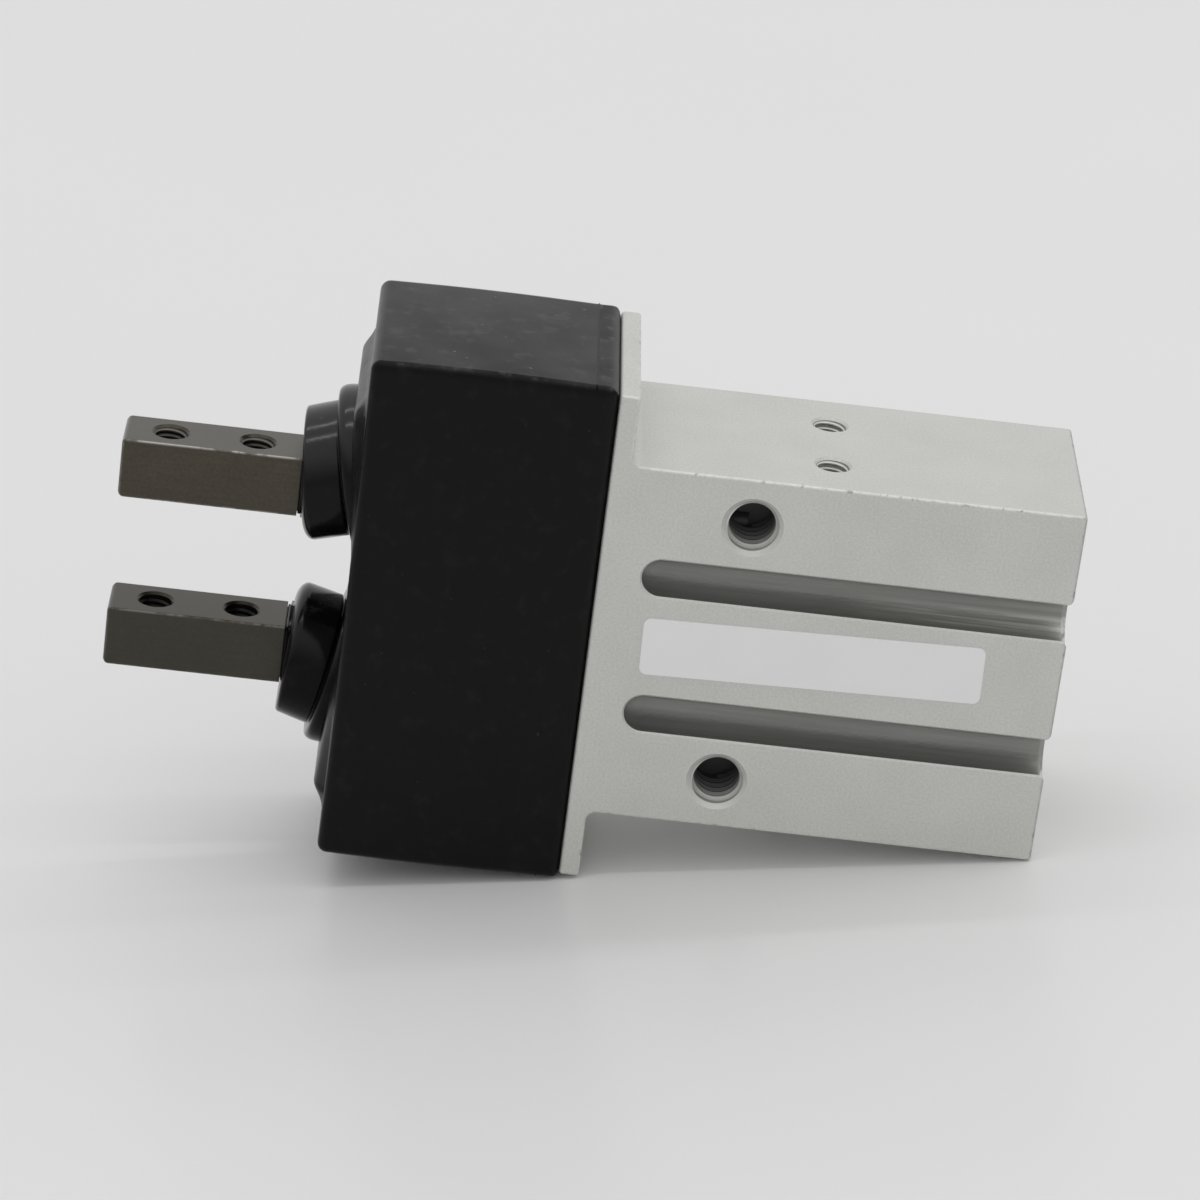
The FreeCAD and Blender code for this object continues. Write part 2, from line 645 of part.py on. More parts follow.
def make_wedge_cam():
    """Double wedge with a T rail on each slope, bored for the rod's tip and the pin."""
    outline = [
        (cam_front, cam_height(cam_front)),
        (cam_rear, cam_height(cam_rear)),
        (cam_rear, -cam_height(cam_rear)),
        (cam_front, -cam_height(cam_front)),
    ]
    core = prism(outline, half_cam_width)
    neck = slanted(cam_front, cam_rear, -RAIL_NECK_HEIGHT, rail_height, half_rail_neck)
    head = slanted(cam_front, cam_rear, RAIL_NECK_HEIGHT, rail_height, half_rail_width)
    rail = neck.fuse(head)
    rod_hole = bar(cam_rear - ROD_TIP_LENGTH - SEAT_FIT, cam_rear + OVERCUT, 0, 0, rod_hole_radius)
    return one_solid(core.fuse([rail, lower(rail)]).cut([rod_hole, pin_bar(CAM_PIN_RADIUS + SEAT_FIT)]))


def make_cam_pin():
    """Cross pin through the cam and the rod's tip."""
    return pin_bar(CAM_PIN_RADIUS)


def finger_slide():
    """Slide of the upper finger, cut back from the cam and slotted for the cam's rail."""
    half_slide = half_channel - SLIDE_FIT
    slide = box(slide_front, slide_rear, -half_slide, half_slide, SLIDE_GAP / 2, slide_outside)
    x0 = slide_front - OVERCUT
    x1 = slide_rear + OVERCUT
    cam_room = slanted(x0, x1, -slide_outside, RAIL_FIT, half_channel)
    slot_top = rail_height + RAIL_FIT
    neck_slot = slanted(x0, x1, 0, slot_top, half_rail_neck + RAIL_FIT)
    head_slot = slanted(x0, x1, RAIL_NECK_HEIGHT - RAIL_FIT, slot_top, half_rail_width + RAIL_FIT)
    return slide.cut([cam_room, neck_slot, head_slot])


def make_finger():
    """Upper finger: slide, neck between the guide plates, and the grooved post with its tapped holes."""
    post = finger_core(finger_tip, slide_front, 0)
    post = post.makeFillet(FINGER_TIP_ROUNDING, edges_with(post, lambda point: near(point.x, finger_tip)))
    post = post.makeFillet(FINGER_EDGE, edges_of_length(post, slide_front - finger_tip - FINGER_TIP_ROUNDING))
    groove_front = boot_tip - FINGER_GROOVE_ROOM
    groove_rear = lip_rear + FINGER_GROOVE_ROOM
    groove_outside = finger_core(groove_front, groove_rear, -OVERCUT)
    groove = groove_outside.cut(finger_core(groove_front, groove_rear, FINGER_GROOVE_DEPTH))
    neck_inside = finger_inside - NECK_SHOULDER
    neck_outside = finger_outside + NECK_SHOULDER
    neck = box(neck_front, slide_front, -half_finger_width, half_finger_width, neck_inside, neck_outside)
    cuts = [groove]
    up = Vector(0, 0, 1)
    for index in range(2):
        x = finger_tip + FINGER_HOLE_FROM_TIP + index * FINGER_HOLE_SPACING
        inside = Vector(x, 0, finger_inside)
        outside = Vector(x, 0, finger_outside)
        cuts.append(tapped_hole(inside, up, SMALL_TAP_RADIUS, FINGER_THICKNESS, SMALL_TAP_SINK))
        cuts.append(tapped_hole(outside, -up, SMALL_TAP_RADIUS, FINGER_THICKNESS, SMALL_TAP_SINK))
    return one_solid(finger_slide().fuse([post, neck]).cut(cuts))


def make_piston_rod():
    """Rod with a stepped tip for the cam and a long stepped tail for the piston and its nut."""
    tail_end = (piston_rear + nut_rear) / 2
    rod = turned([
        (cam_rear - ROD_TIP_LENGTH, 0),
        (cam_rear - ROD_TIP_LENGTH, ROD_END_RADIUS),
        (cam_rear, ROD_END_RADIUS),
        (cam_rear, ROD_RADIUS),
        (piston_front, ROD_RADIUS),
        (piston_front, ROD_END_RADIUS),
        (tail_end, ROD_END_RADIUS),
        (tail_end, 0),
    ])
    return one_solid(rod.cut(pin_bar(CAM_PIN_RADIUS + SEAT_FIT)))


def make_piston_rear_half():
    """Rear half of the piston, with the nut's recess, the wear ring's groove and the magnet's boss."""
    nut_room = NUT_WIDTH / math.sqrt(3) + PISTON_CLEARANCE
    boss = magnet_hole_radius - SEAT_FIT
    groove_rear = nut_seat - WEAR_RING_LAND
    groove_front = groove_rear - WEAR_RING_WIDTH
    groove = piston_radius - WEAR_RING_DEPTH
    return turned([
        (piston_rear, nut_room),
        (nut_seat, nut_room),
        (nut_seat, rod_hole_radius),
        (magnet_front, rod_hole_radius),
        (magnet_front, boss),
        (magnet_rear, boss),
        (magnet_rear, piston_radius),
        (groove_front, piston_radius),
        (groove_front, groove),
        (groove_rear, groove),
        (groove_rear, piston_radius),
        (piston_rear, piston_radius),
    ])


def make_piston_front_half():
    """Front half of the piston, with the seal's groove."""
    groove_front = piston_front + PISTON_SEAL_LAND
    groove_rear = groove_front + PISTON_SEAL_WIDTH
    groove = piston_radius - PISTON_SEAL_DEPTH
    return turned([
        (magnet_front, rod_hole_radius),
        (piston_front, rod_hole_radius),
        (piston_front, piston_radius),
        (groove_front, piston_radius),
        (groove_front, groove),
        (groove_rear, groove),
        (groove_rear, piston_radius),
        (magnet_front, piston_radius),
    ])


def make_piston_seal():
    """Lip seal in the front half of the piston, hollow towards the front."""
    front = piston_front + PISTON_SEAL_LAND + SEAT_FIT
    rear = front + PISTON_SEAL_WIDTH - 2 * SEAT_FIT
    outer = BORE_RADIUS - SLIDE_FIT
    inner = piston_radius - PISTON_SEAL_DEPTH + SEAT_FIT
    hollow = (front + SEAL_LIP, (outer + inner) / 2)
    return turned([(front, inner), hollow, (front, outer), (rear, outer), (rear, inner)])


def make_wear_ring():
    """Guide band in the rear half of the piston."""
    rear = nut_seat - WEAR_RING_LAND - SEAT_FIT
    front = rear - WEAR_RING_WIDTH + 2 * SEAT_FIT
    return ring(front, rear, BORE_RADIUS - SLIDE_FIT, piston_radius - WEAR_RING_DEPTH + SEAT_FIT)


def make_piston_magnet():
    """Magnet ring on the rear half's boss."""
    return ring(magnet_front, magnet_rear, piston_radius, magnet_hole_radius)


def make_piston_nut():
    """Hexagon nut on the rod's tail."""
    hole = bar(nut_seat - OVERCUT, nut_rear + OVERCUT, 0, 0, rod_hole_radius)
    return one_solid(hexagon(NUT_WIDTH, nut_seat, nut_rear, 0, 0).cut(hole))


def make_rod_seal():
    """Lip seal round the rod, hollow towards the cylinder."""
    inner = ROD_RADIUS + SLIDE_FIT
    outer = seal_radius - SEAT_FIT
    hollow = (holder_front - SEAL_LIP, (outer + inner) / 2)
    return turned([
        (seal_front, inner),
        (holder_front, inner),
        hollow,
        (holder_front, outer),
        (seal_front, outer),
    ])


def make_seal_holder():
    """Washer that keeps the rod seal in its pocket."""
    return ring(holder_front, bore_front, seal_radius - SEAT_FIT, ROD_RADIUS + PISTON_CLEARANCE)


def make_rod_bush():
    """Plain bearing of the rod."""
    return ring(bush_front, seal_front, bush_radius - SEAT_FIT, ROD_RADIUS + RUNNING_FIT)


def make_front_bumper():
    """Stop ring at the front end of the cylinder."""
    return ring(bore_front, front_bumper_rear, bumper_radius, bumper_hole_radius)


def make_rear_bumper():
    """Stop ring on the end cap."""
    return ring(rear_bumper_front, cap_front, bumper_radius, bumper_hole_radius)


def make_end_cap():
    """Plug at the rear end of the cylinder, with the O-ring's groove."""
    outer = cap_radius - SEAT_FIT
    groove = cap_radius - O_RING_SECTION
    middle = (cap_front + cap_rear) / 2
    half_groove = O_RING_SECTION / 2 + SLIDE_FIT
    return turned([
        (cap_front, 0),
        (cap_front, outer),
        (middle - half_groove, outer),
        (middle - half_groove, groove),
        (middle + half_groove, groove),
        (middle + half_groove, outer),
        (cap_rear, outer),
        (cap_rear, 0),
    ])


def make_end_cap_o_ring():
    """O-ring in the end cap's groove."""
    section_radius = O_RING_SECTION / 2 - SEAT_FIT
    middle = Vector((cap_front + cap_rear) / 2, 0, 0)
    return Part.makeTorus(cap_radius - O_RING_SECTION / 2, section_radius, middle, Vector(1, 0, 0))


def make_retaining_ring():
    """Internal snap ring with an eye in each end."""
    inner = cap_radius - CLIP_WIDTH
    half_opening = CLIP_OPENING / 2
    hoop = ring(clip_front, clip_rear, clip_groove_radius - SEAT_FIT, inner)
    hoop = hoop.cut(box(clip_front, clip_rear, 0, recess_radius, -half_opening, half_opening))
    lug_z = half_opening + CLIP_LUG_RADIUS / 2
    lug_y = math.sqrt(inner ** 2 - lug_z ** 2)
    lug = bar(clip_front, clip_rear, lug_y, lug_z, CLIP_LUG_RADIUS)
    eye = bar(clip_front, clip_rear, lug_y, lug_z, CLIP_EYE_RADIUS)
    return one_solid(hoop.fuse([lug, lower(lug)]).cut([eye, lower(eye)]))


def make_passage_plugs():
    """Steel balls in the mouths of the air passages."""
    x = channel_floor + PLUG_DEPTH + PLUG_RADIUS - SEAT_FIT
    return Part.makeCompound(
        [Part.makeSphere(PLUG_RADIUS, Vector(x, passage_y, side * passage_z)) for side in (-1, 1)]
    )


def make_name_label():
    """Bare label film between the sensor grooves, stuck on a little askew."""
    x0 = flange_rear + LABEL_FRONT_MARGIN
    x1 = -LABEL_REAR_MARGIN
    half_label = LABEL_WIDTH / 2
    z0 = LABEL_OFFSET - half_label
    z1 = LABEL_OFFSET + half_label
    film = box(x0, x1, -half_depth - LABEL_THICKNESS, -half_depth, z0, z1)
    film = film.makeFillet(LABEL_CORNER, edges_of_length(film, LABEL_THICKNESS))
    film.rotate(Vector((x0 + x1) / 2, 0, LABEL_OFFSET), Vector(0, 1, 0), -LABEL_SKEW)
    return film


def main():
    """Build every piece and write it to its own file."""
    boot = make_boot()
    finger = make_finger()
    guide_plate = make_guide_plate()
    pieces = {
        "body": make_body(),
        "dust_cover": make_dust_cover(),
        "upper_finger_boot": boot,
        "lower_finger_boot": lower(boot),
        "guide_plate_front": guide_plate,
        "guide_plate_back": back(guide_plate),
        "guide_screws": make_guide_screws(),
        "guide_dowels": make_guide_dowels(),
        "rod_bush": make_rod_bush(),
        "rod_seal": make_rod_seal(),
        "seal_holder": make_seal_holder(),
        "front_bumper": make_front_bumper(),
        "rear_bumper": make_rear_bumper(),
        "end_cap": make_end_cap(),
        "end_cap_o_ring": make_end_cap_o_ring(),
        "retaining_ring": make_retaining_ring(),
        "passage_plugs": make_passage_plugs(),
        "name_label": make_name_label(),
        "piston_rear_half": make_piston_rear_half(),
        "piston_front_half": make_piston_front_half(),
        "piston_magnet": make_piston_magnet(),
        "piston_seal": make_piston_seal(),
        "wear_ring": make_wear_ring(),
        "piston_rod": make_piston_rod(),
        "piston_nut": make_piston_nut(),
        "wedge_cam": make_wedge_cam(),
        "cam_pin": make_cam_pin(),
        "upper_finger": finger,
        "lower_finger": lower(finger),
    }
    os.makedirs("parts", exist_ok=True)
    for name, shape in pieces.items():
        shape.exportStep("parts/" + name + ".step")


main()
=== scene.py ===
import json
import math

import bmesh
import bpy
from mathutils import Matrix, Quaternion, Vector


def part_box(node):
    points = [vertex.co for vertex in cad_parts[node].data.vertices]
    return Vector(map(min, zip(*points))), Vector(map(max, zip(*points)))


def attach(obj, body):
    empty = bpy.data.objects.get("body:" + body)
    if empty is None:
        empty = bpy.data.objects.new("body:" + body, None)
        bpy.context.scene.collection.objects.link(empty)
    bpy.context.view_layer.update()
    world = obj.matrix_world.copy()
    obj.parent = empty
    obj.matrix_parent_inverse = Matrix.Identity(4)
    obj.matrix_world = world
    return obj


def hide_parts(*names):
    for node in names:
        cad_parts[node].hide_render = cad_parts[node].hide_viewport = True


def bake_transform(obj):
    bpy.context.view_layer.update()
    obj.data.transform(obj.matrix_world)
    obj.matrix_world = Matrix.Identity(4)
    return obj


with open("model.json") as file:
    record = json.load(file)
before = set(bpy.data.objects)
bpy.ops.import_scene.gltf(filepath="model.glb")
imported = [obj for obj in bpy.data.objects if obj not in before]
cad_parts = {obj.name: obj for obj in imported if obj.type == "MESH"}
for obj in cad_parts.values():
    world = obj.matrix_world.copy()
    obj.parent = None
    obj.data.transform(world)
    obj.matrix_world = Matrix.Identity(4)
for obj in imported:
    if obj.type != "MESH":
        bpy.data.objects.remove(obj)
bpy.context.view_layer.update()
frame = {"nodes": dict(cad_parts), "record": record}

# Pneumatic parallel gripper with a rubber dust cover. All sizes are in millimetres, in the part's own
# frame: the rear face is at X = 0, the fingers point to -X and open along Z, the ports are on the -Y face.

MM = 0.001

# Body
BLOCK_HALF_DEPTH = 9.2
BLOCK_HALF_WIDTH = 15.0
FLANGE_THICKNESS = 1.6
GROOVE_OFFSET = 5.86  # from the axis to the middle of a sensor groove
GROOVE_HALF_WIDTH = 1.95
GROOVE_LIP = 0.25  # depth of the chamfer along the groove's mouth
GROOVE_REACH = 3.7  # how deep the painted shade of the grooves goes
PORT_FACE = -BLOCK_HALF_DEPTH  # Y of the face with the ports and the grooves
PORT_SINK = 0.35  # countersink past the port's wall
PORT_REACH = 6.7  # how deep the painted shade of the ports goes

# Wear: how far it reaches from the edges. Painted reflection: a pale strip painted along the upper groove,
# where the bright table shows in its curved wall
BLOCK_WEAR = 0.3
FLANGE_WEAR = 0.26
FINGER_WEAR = 0.22
REAR_WEAR = 0.45
REFLECTION_ALONG = (-19.0, -9.0)  # along X, where it sets in
REFLECTION_FROM = (3.95, 4.15)  # along Z
REFLECTION_TO = (4.7, 5.3)

# Dust cover
COVER_LENGTH = 19.25
COVER_EDGE = 0.8  # rounding
COVER_EDGE_STEPS = 5
COVER_WALL = 1.4
COVER_FRONT_WALL = 1.5
RIM_ROUNDING = 1.0
RIM_STEPS = 6
PARTING_LINE = 1.85  # from the rim
PARTING_WIDTH = 0.1
PARTING_DEPTH = 0.1
COVER_SWELL = 0.25  # how far the long walls swell
FRONT_DIP = 0.25  # how far the middle of the front wall lies back
DIP_REACH = 6.0  # from the axis
UPPER_BOW = 0.05  # how far the ends of the front wall stand forward
LOWER_BOW = 0.2
BOW_REACH = 9.0  # how far back from the front the bow is felt
LENGTH_CUTS = (0.15, 0.3, 0.45, 0.6, 0.75, 0.9)  # shares of a wall where it gets new edges
ACROSS_CUTS = (-0.8, -0.4, 0.0, 0.4, 0.8)
ON_WALL = 0.01  # how near a point counts as on a wall
ON_PLANE = 0.001  # how near a point counts as on a plane
CUT_REACH = 0.0001
MERGE_REACH = 0.0005

# Sloping pads under the boots
PAD_HEIGHT = 0.95
PAD_START = 2.4  # from the axis
PAD_END = 16.08
PAD_BEVEL = 1.4
PAD_HALF_DEPTH = 8.55
PAD_SIDE_SLOPE = 1.6
PAD_SIDE_CUTS = (0.0, 0.25, 0.5, 0.75, 1.0)  # shares of the side slope
PAD_END_CUT = 0.3  # spacing of the edges at a pad's end
PAD_SHARPNESS = 7.0  # of the ridge at a pad's end

# Finger boots
BOOT_ROOT_OFFSET = 8.78
BOOT_HOLE_RADIUS = 4.98
BOOT_HOLE_STEPS = 64
BOOT_ROOT_RADIUS = 6.34
BOOT_TIP_RADIUS = 5.37
BOOT_LENGTH = 3.957
BOOT_RING = 0.77  # length of the root ring at its middle
BOOT_NECK = 0.1  # length of the groove between the rings
BOOT_NECK_LEAN = 0.4  # how far the closed finger pulls the neck inwards
BOOT_LEAN = 1.3  # the same, at the tip
NECK_TILT = 11.5  # degrees
BOOT_TILT = 4.4  # degrees
BOOT_STEPS = 96
TIP_EDGE = 0.27  # rounding of the tip on its outer side
TIP_NOSE_LENGTH = 0.9  # long rounding of the tip on its inner side
TIP_NOSE_DEPTH = 2.0
TIP_NOSE_POWER = 1.5  # how fast it fades towards the outer side
TIP_STEPS = 10
TIP_START = 0.06  # a row of points this far before the rounding

# Fingers
FINGER_MIDDLE = 7.29
FINGER_THICKNESS = 4.95
FINGER_WIDTH = 5.16
FINGER_TIP = -75.32
FINGER_ROOT = -60.0
FINGER_SQUARENESS = 14.0  # power of the rounded square that a lip follows

# Threads
THREAD_STEPS = 40
THREAD_FOOT = 0.46  # half widths of the ridge, as shares of the pitch
THREAD_CREST = 0.08
THREAD_RUN_IN = 0.3  # share of the pitch over which the ridge rises
THREAD_RUN_OUT = 0.5  # turns left free at the end
THREAD_EMBED = 0.03  # how far the ridge's foot lies in the wall
THREAD_START = 0.05  # share of the ridge's height that it starts with, inside the wall
THREAD_LAP = 0.002  # between the corners of its section there

# Each thread's pitch, height of the ridge, depth of the countersink, and where the ridge ends
PORT_THREAD = {"pitch": 0.8, "ridge": 0.26, "sink": 0.35, "end": 5.5}
SIDE_THREAD = {"pitch": 0.5, "ridge": 0.15, "sink": 0.2, "end": 3.9}
REAR_THREAD = {"pitch": 0.7, "ridge": 0.2, "sink": 0.25, "end": 6.8}
FINGER_THREAD = {"pitch": 0.5, "ridge": 0.15, "sink": 0.2, "end": FINGER_THICKNESS - 0.2}

# Greatest angle between faces that are shaded as one, in degrees
COVER_SMOOTH = 35.0
BOOT_SMOOTH = 60.0
THREAD_SMOOTH = 30.0

# Table top
TABLE_REACH = 3000.0  # from its middle to an edge
TABLE_GAP = 0.05  # between it and the part

# Light: two strip lamps above, in metres and watts, and the levels of the sky
STRIP_LENGTH = 1.2
STRIP_WIDTH = 0.04
STRIP_HEIGHT = 1.0
STRIP_OFFSETS = (0.306, -0.164)  # along Y
STRIP_POWER = 0.9
SKY_LOW = 0.71
SKY_HIGH = 0.78
SKY_FRONT = 0.8  # share that is left in front

# View, as in the photograph
CAMERA_PLACE = (-53.9, -394.47, 174.54)
CAMERA_LOOK = (0.0406, 0.9132, -0.4054)
CAMERA_ROLL = 7.4  # degrees
CAMERA_LENS = 162.09
CAMERA_SENSOR = 36.0
CAMERA_NEAR = 0.02  # metres

record = frame["record"]
mounts = {mount["name"]: mount for mount in record["mounts"]}


def box_mm(node):
    """Lowest and highest corner of a node, in millimetres."""
    low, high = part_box(node)
    return low / MM, high / MM


cover_low, cover_high = box_mm("dust_cover")
body_high = box_mm("body")[1]
cover_rim = cover_high.x
cover_front = cover_rim - COVER_LENGTH
cover_inside = cover_front + COVER_FRONT_WALL
cover_half_y = cover_high.y
cover_half_z = cover_high.z
flange_front = cover_rim
flange_rear = flange_front + FLANGE_THICKNESS
pad_rise = PAD_HEIGHT / (PAD_END - PAD_START)
boot_root = cover_front - pad_rise * (BOOT_ROOT_OFFSET - PAD_START)
boot_tip = boot_root - BOOT_LENGTH
boot_rise = math.tan(math.radians(BOOT_TILT))
neck_rise = math.tan(math.radians(NECK_TILT))


# Shader helpers


def add(tree, kind, settings=None, inputs=None):
    """New shader node with its settings, and its inputs set or linked."""
    made = tree.nodes.new("ShaderNode" + kind)
    for key, value in (settings or {}).items():
        setattr(made, key, value)
    for key, value in (inputs or {}).items():
        if isinstance(value, bpy.types.NodeSocket):
            tree.links.new(value, made.inputs[key])
        else:
            made.inputs[key].default_value = value
    return made


def math_of(tree, operation, *values):
    """Result of a Math node."""
    return add(tree, "Math", {"operation": operation}, dict(enumerate(values))).outputs[0]


def times(tree, *values):
    """Product of several values."""
    product = values[0]
    for value in values[1:]:
        product = math_of(tree, "MULTIPLY", product, value)
    return product


def vector_of(tree, operation, *values):
    """Result of a Vector Math node."""
    return add(tree, "VectorMath", {"operation": operation}, dict(enumerate(values))).outputs[0]


def ramp(tree, value, low, high, start=0.0, end=1.0):
    """Smooth step of a value between two limits."""
    limits = {"Value": value, "From Min": low, "From Max": high, "To Min": start, "To Max": end}
    return add(tree, "MapRange", {"interpolation_type": "SMOOTHSTEP"}, limits).outputs[0]


def spread(tree, value, low, high):
    """Value from 0 to 1 spread over a range."""
    return add(tree, "MapRange", None, {"Value": value, "To Min": low, "To Max": high}).outputs[0]


def mix(tree, share, first, second):
    """Blend of two colours."""
    return add(tree, "Mix", {"data_type": "RGBA"}, {0: share, 6: first, 7: second}).outputs[2]


def noise(tree, point, size, detail=3.0, roughness=0.5):
    """Noise with features of one size."""
    values = {"Vector": point, "Scale": 1.0 / size, "Detail": detail, "Roughness": roughness}
    return add(tree, "TexNoise", None, values).outputs[0]


def parts_of(tree, vector):
    """X, Y and Z of a vector."""
    return add(tree, "SeparateXYZ", None, {0: vector}).outputs


def grey(level, warmth=0.0):
    """Grey of a linear level, a little warmer or cooler."""
    return (level * (1 + warmth), level, level * (1 - warmth), 1.0)


def alloy(level):
    """Faintly green grey of the anodised body."""
    return (0.99 * level, level, 0.945 * level, 1.0)


def new_group(name, inputs, outputs):
    """Empty node group with named sockets, and its input and output nodes."""
    tree = bpy.data.node_groups.new(name, "ShaderNodeTree")
    for label, kind in inputs.items():
        tree.interface.new_socket(name=label, in_out="INPUT", socket_type="NodeSocket" + kind)
    for label, kind in outputs.items():
        tree.interface.new_socket(name=label, in_out="OUTPUT", socket_type="NodeSocket" + kind)
    source = tree.nodes.new("NodeGroupInput").outputs
    sink = tree.nodes.new("NodeGroupOutput").inputs
    return tree, source, sink


def edge_band_group():
    """Mask of the edges of a box, from its middle and half sizes."""
    inputs = {"Point": "Vector", "Middle": "Vector", "Half": "Vector", "Width": "Float"}
    tree, source, sink = new_group("edge_band", inputs, {"Mask": "Float"})
    away = vector_of(tree, "ABSOLUTE", vector_of(tree, "SUBTRACT", source["Point"], source["Middle"]))
    x, y, z = parts_of(tree, vector_of(tree, "SUBTRACT", source["Half"], away))
    nearer = math_of(tree, "MINIMUM", x, y)
    farther = math_of(tree, "MAXIMUM", x, y)
    nearest = math_of(tree, "MINIMUM", nearer, z)
    second = math_of(tree, "MAXIMUM", nearer, math_of(tree, "MINIMUM", farther, z))
    on_edge = ramp(tree, second, 0.0, source["Width"], 1.0, 0.0)
    on_box = ramp(tree, nearest, -0.1, -0.02)
    tree.links.new(times(tree, on_edge, on_box), sink["Mask"])
    return tree


def speck_group():
    """Mask of ragged specks: spacing between them, and the share of the spacing that the largest fill."""
    inputs = {"Point": "Vector", "Spacing": "Float", "Size": "Float"}
    tree, source, sink = new_group("specks", inputs, {"Mask": "Float"})
    wander = add(tree, "TexNoise", None, {"Vector": source["Point"], "Scale": 3.0, "Detail": 2.0})
    shift = vector_of(tree, "MULTIPLY", wander.outputs["Color"], (0.5, 0.5, 0.5))
    place = vector_of(tree, "ADD", source["Point"], shift)
    scale = math_of(tree, "DIVIDE", 1.0, source["Spacing"])
    cells = add(tree, "TexVoronoi", None, {"Vector": place, "Scale": scale})
    chance = add(tree, "SeparateColor", None, {0: cells.outputs["Color"]}).outputs[0]
    reach = math_of(tree, "MULTIPLY", source["Size"], math_of(tree, "POWER", chance, 3.0))
    soft = math_of(tree, "MULTIPLY", reach, 0.3)
    tree.links.new(ramp(tree, cells.outputs["Distance"], soft, reach, 1.0, 0.0), sink["Mask"])
    return tree


def scuff_group():
    """Mask of streaks: noise stretched by a scale for each axis, kept above a level."""
    inputs = {"Point": "Vector", "Stretch": "Vector", "Level": "Float"}
    tree, source, sink = new_group("scuffs", inputs, {"Mask": "Float"})
    stretched = vector_of(tree, "MULTIPLY", source["Point"], source["Stretch"])
    streak = noise(tree, stretched, 1.0, 4.0, 0.6)
    top = math_of(tree, "ADD", source["Level"], 0.12)
    tree.links.new(ramp(tree, streak, source["Level"], top), sink["Mask"])
    return tree


edge_band = edge_band_group()
specks = speck_group()
scuffs = scuff_group()


def place_group(tree, group, inputs):
    """Mask that a node group puts out."""
    made = add(tree, "Group", {"node_tree": group}, inputs)
    return made.outputs["Mask"]


def new_material(name):
    """Material with its Principled shader and a point in millimetres on the piece."""
    material = bpy.data.materials.new(name)
    material.use_nodes = True
    tree = material.node_tree
    shader = tree.nodes["Principled BSDF"]
    place = add(tree, "TexCoord").outputs["Object"]
    point = add(tree, "VectorMath", {"operation": "SCALE"}, {0: place, "Scale": 1.0 / MM}).outputs[0]
    return material, tree, shader, point


def bump(tree, shader, height, depth):
    """Relief of a given depth in millimetres."""
    relief = add(tree, "Bump", None, {"Height": height, "Distance": depth * MM, "Strength": 1.0})
    tree.links.new(relief.outputs[0], shader.inputs["Normal"])


def brushed(tree, point, along, across, detail=4.0):
    """Fine lines along X."""
    stretched = vector_of(tree, "MULTIPLY", point, (1.0 / along, 1.0 / across, 1.0 / across))
    return noise(tree, stretched, 1.0, detail, 0.6)


# Tones of the materials, from dark to pale and then their marks

BODY_TONES = (alloy(0.63), alloy(0.72))
BODY_WORN = alloy(0.9)
BODY_NICK = grey(0.12)
BODY_REAR_EDGE = grey(0.22)
BODY_PIT = grey(0.2)
GROOVE_SHADE_TONES = (alloy(0.29), alloy(0.35))
GROOVE_PAINTED_REFLECTION = alloy(0.75)
PORT_RIM = alloy(0.72)
PORT_WALL_SHADE = alloy(0.5)
PORT_DEEP_SHADE = grey(0.16)
RUBBER_TONES = (grey(0.004), grey(0.006))
RUBBER_DUST_AND_TOP_LIGHT = grey(0.1)
RUBBER_SMUDGE = grey(0.15)
RUBBER_LINT = grey(0.34)
RUBBER_SCRATCH = grey(0.2)
FINGER_TONES = ((0.035, 0.028, 0.016, 1.0), (0.068, 0.056, 0.034, 1.0))
FINGER_LOWER_SHADE = (0.05, 0.049, 0.038, 1.0)
FINGER_BARE = grey(0.5, 0.05)
FINGER_RUST = (0.11, 0.045, 0.02, 1.0)
LABEL_TONES = (grey(0.9), grey(0.94))
TABLE_TONES = (grey(0.86), grey(0.88))
STEEL_TONES = (grey(0.5), grey(0.66))
BRONZE_TONES = ((0.36, 0.2, 0.08, 1.0), (0.5, 0.3, 0.13, 1.0))
SEAL_TONES = (grey(0.01), grey(0.02))
URETHANE_TONES = ((0.42, 0.24, 0.05, 1.0), (0.5, 0.31, 0.08, 1.0))
MAGNET_TONES = (grey(0.02), grey(0.05))
BAND_TONES = ((0.08, 0.03, 0.015, 1.0), (0.11, 0.05, 0.02, 1.0))


# Materials


def body_edges(tree, point):
    """Mask of the outer edges of the block and of its flange."""
    x, _, z = parts_of(tree, point)
    block = {
        "Point": point,
        "Middle": (flange_rear / 2, 0.0, 0.0),
        "Half": (-flange_rear / 2, BLOCK_HALF_DEPTH, BLOCK_HALF_WIDTH),
        "Width": BLOCK_WEAR,
    }
    flange = {
        "Point": point,
        "Middle": ((flange_rear + flange_front) / 2, 0.0, 0.0),
        "Half": (FLANGE_THICKNESS / 2, BLOCK_HALF_DEPTH, body_high.z),
        "Width": FLANGE_WEAR,
    }
    behind_flange = ramp(tree, x, flange_rear + 0.8, flange_rear + 1.2)
    off_axis = math_of(tree, "ABSOLUTE", z)
    beside_block = ramp(tree, off_axis, BLOCK_HALF_WIDTH + 0.8, BLOCK_HALF_WIDTH + 1.2)
    block_edge = times(tree, place_group(tree, edge_band, block), behind_flange)
    off_cover = ramp(tree, x, flange_front + 0.3, flange_front + 0.5)
    flange_edge = times(tree, place_group(tree, edge_band, flange), beside_block, off_cover)
    return math_of(tree, "MAXIMUM", block_edge, flange_edge)


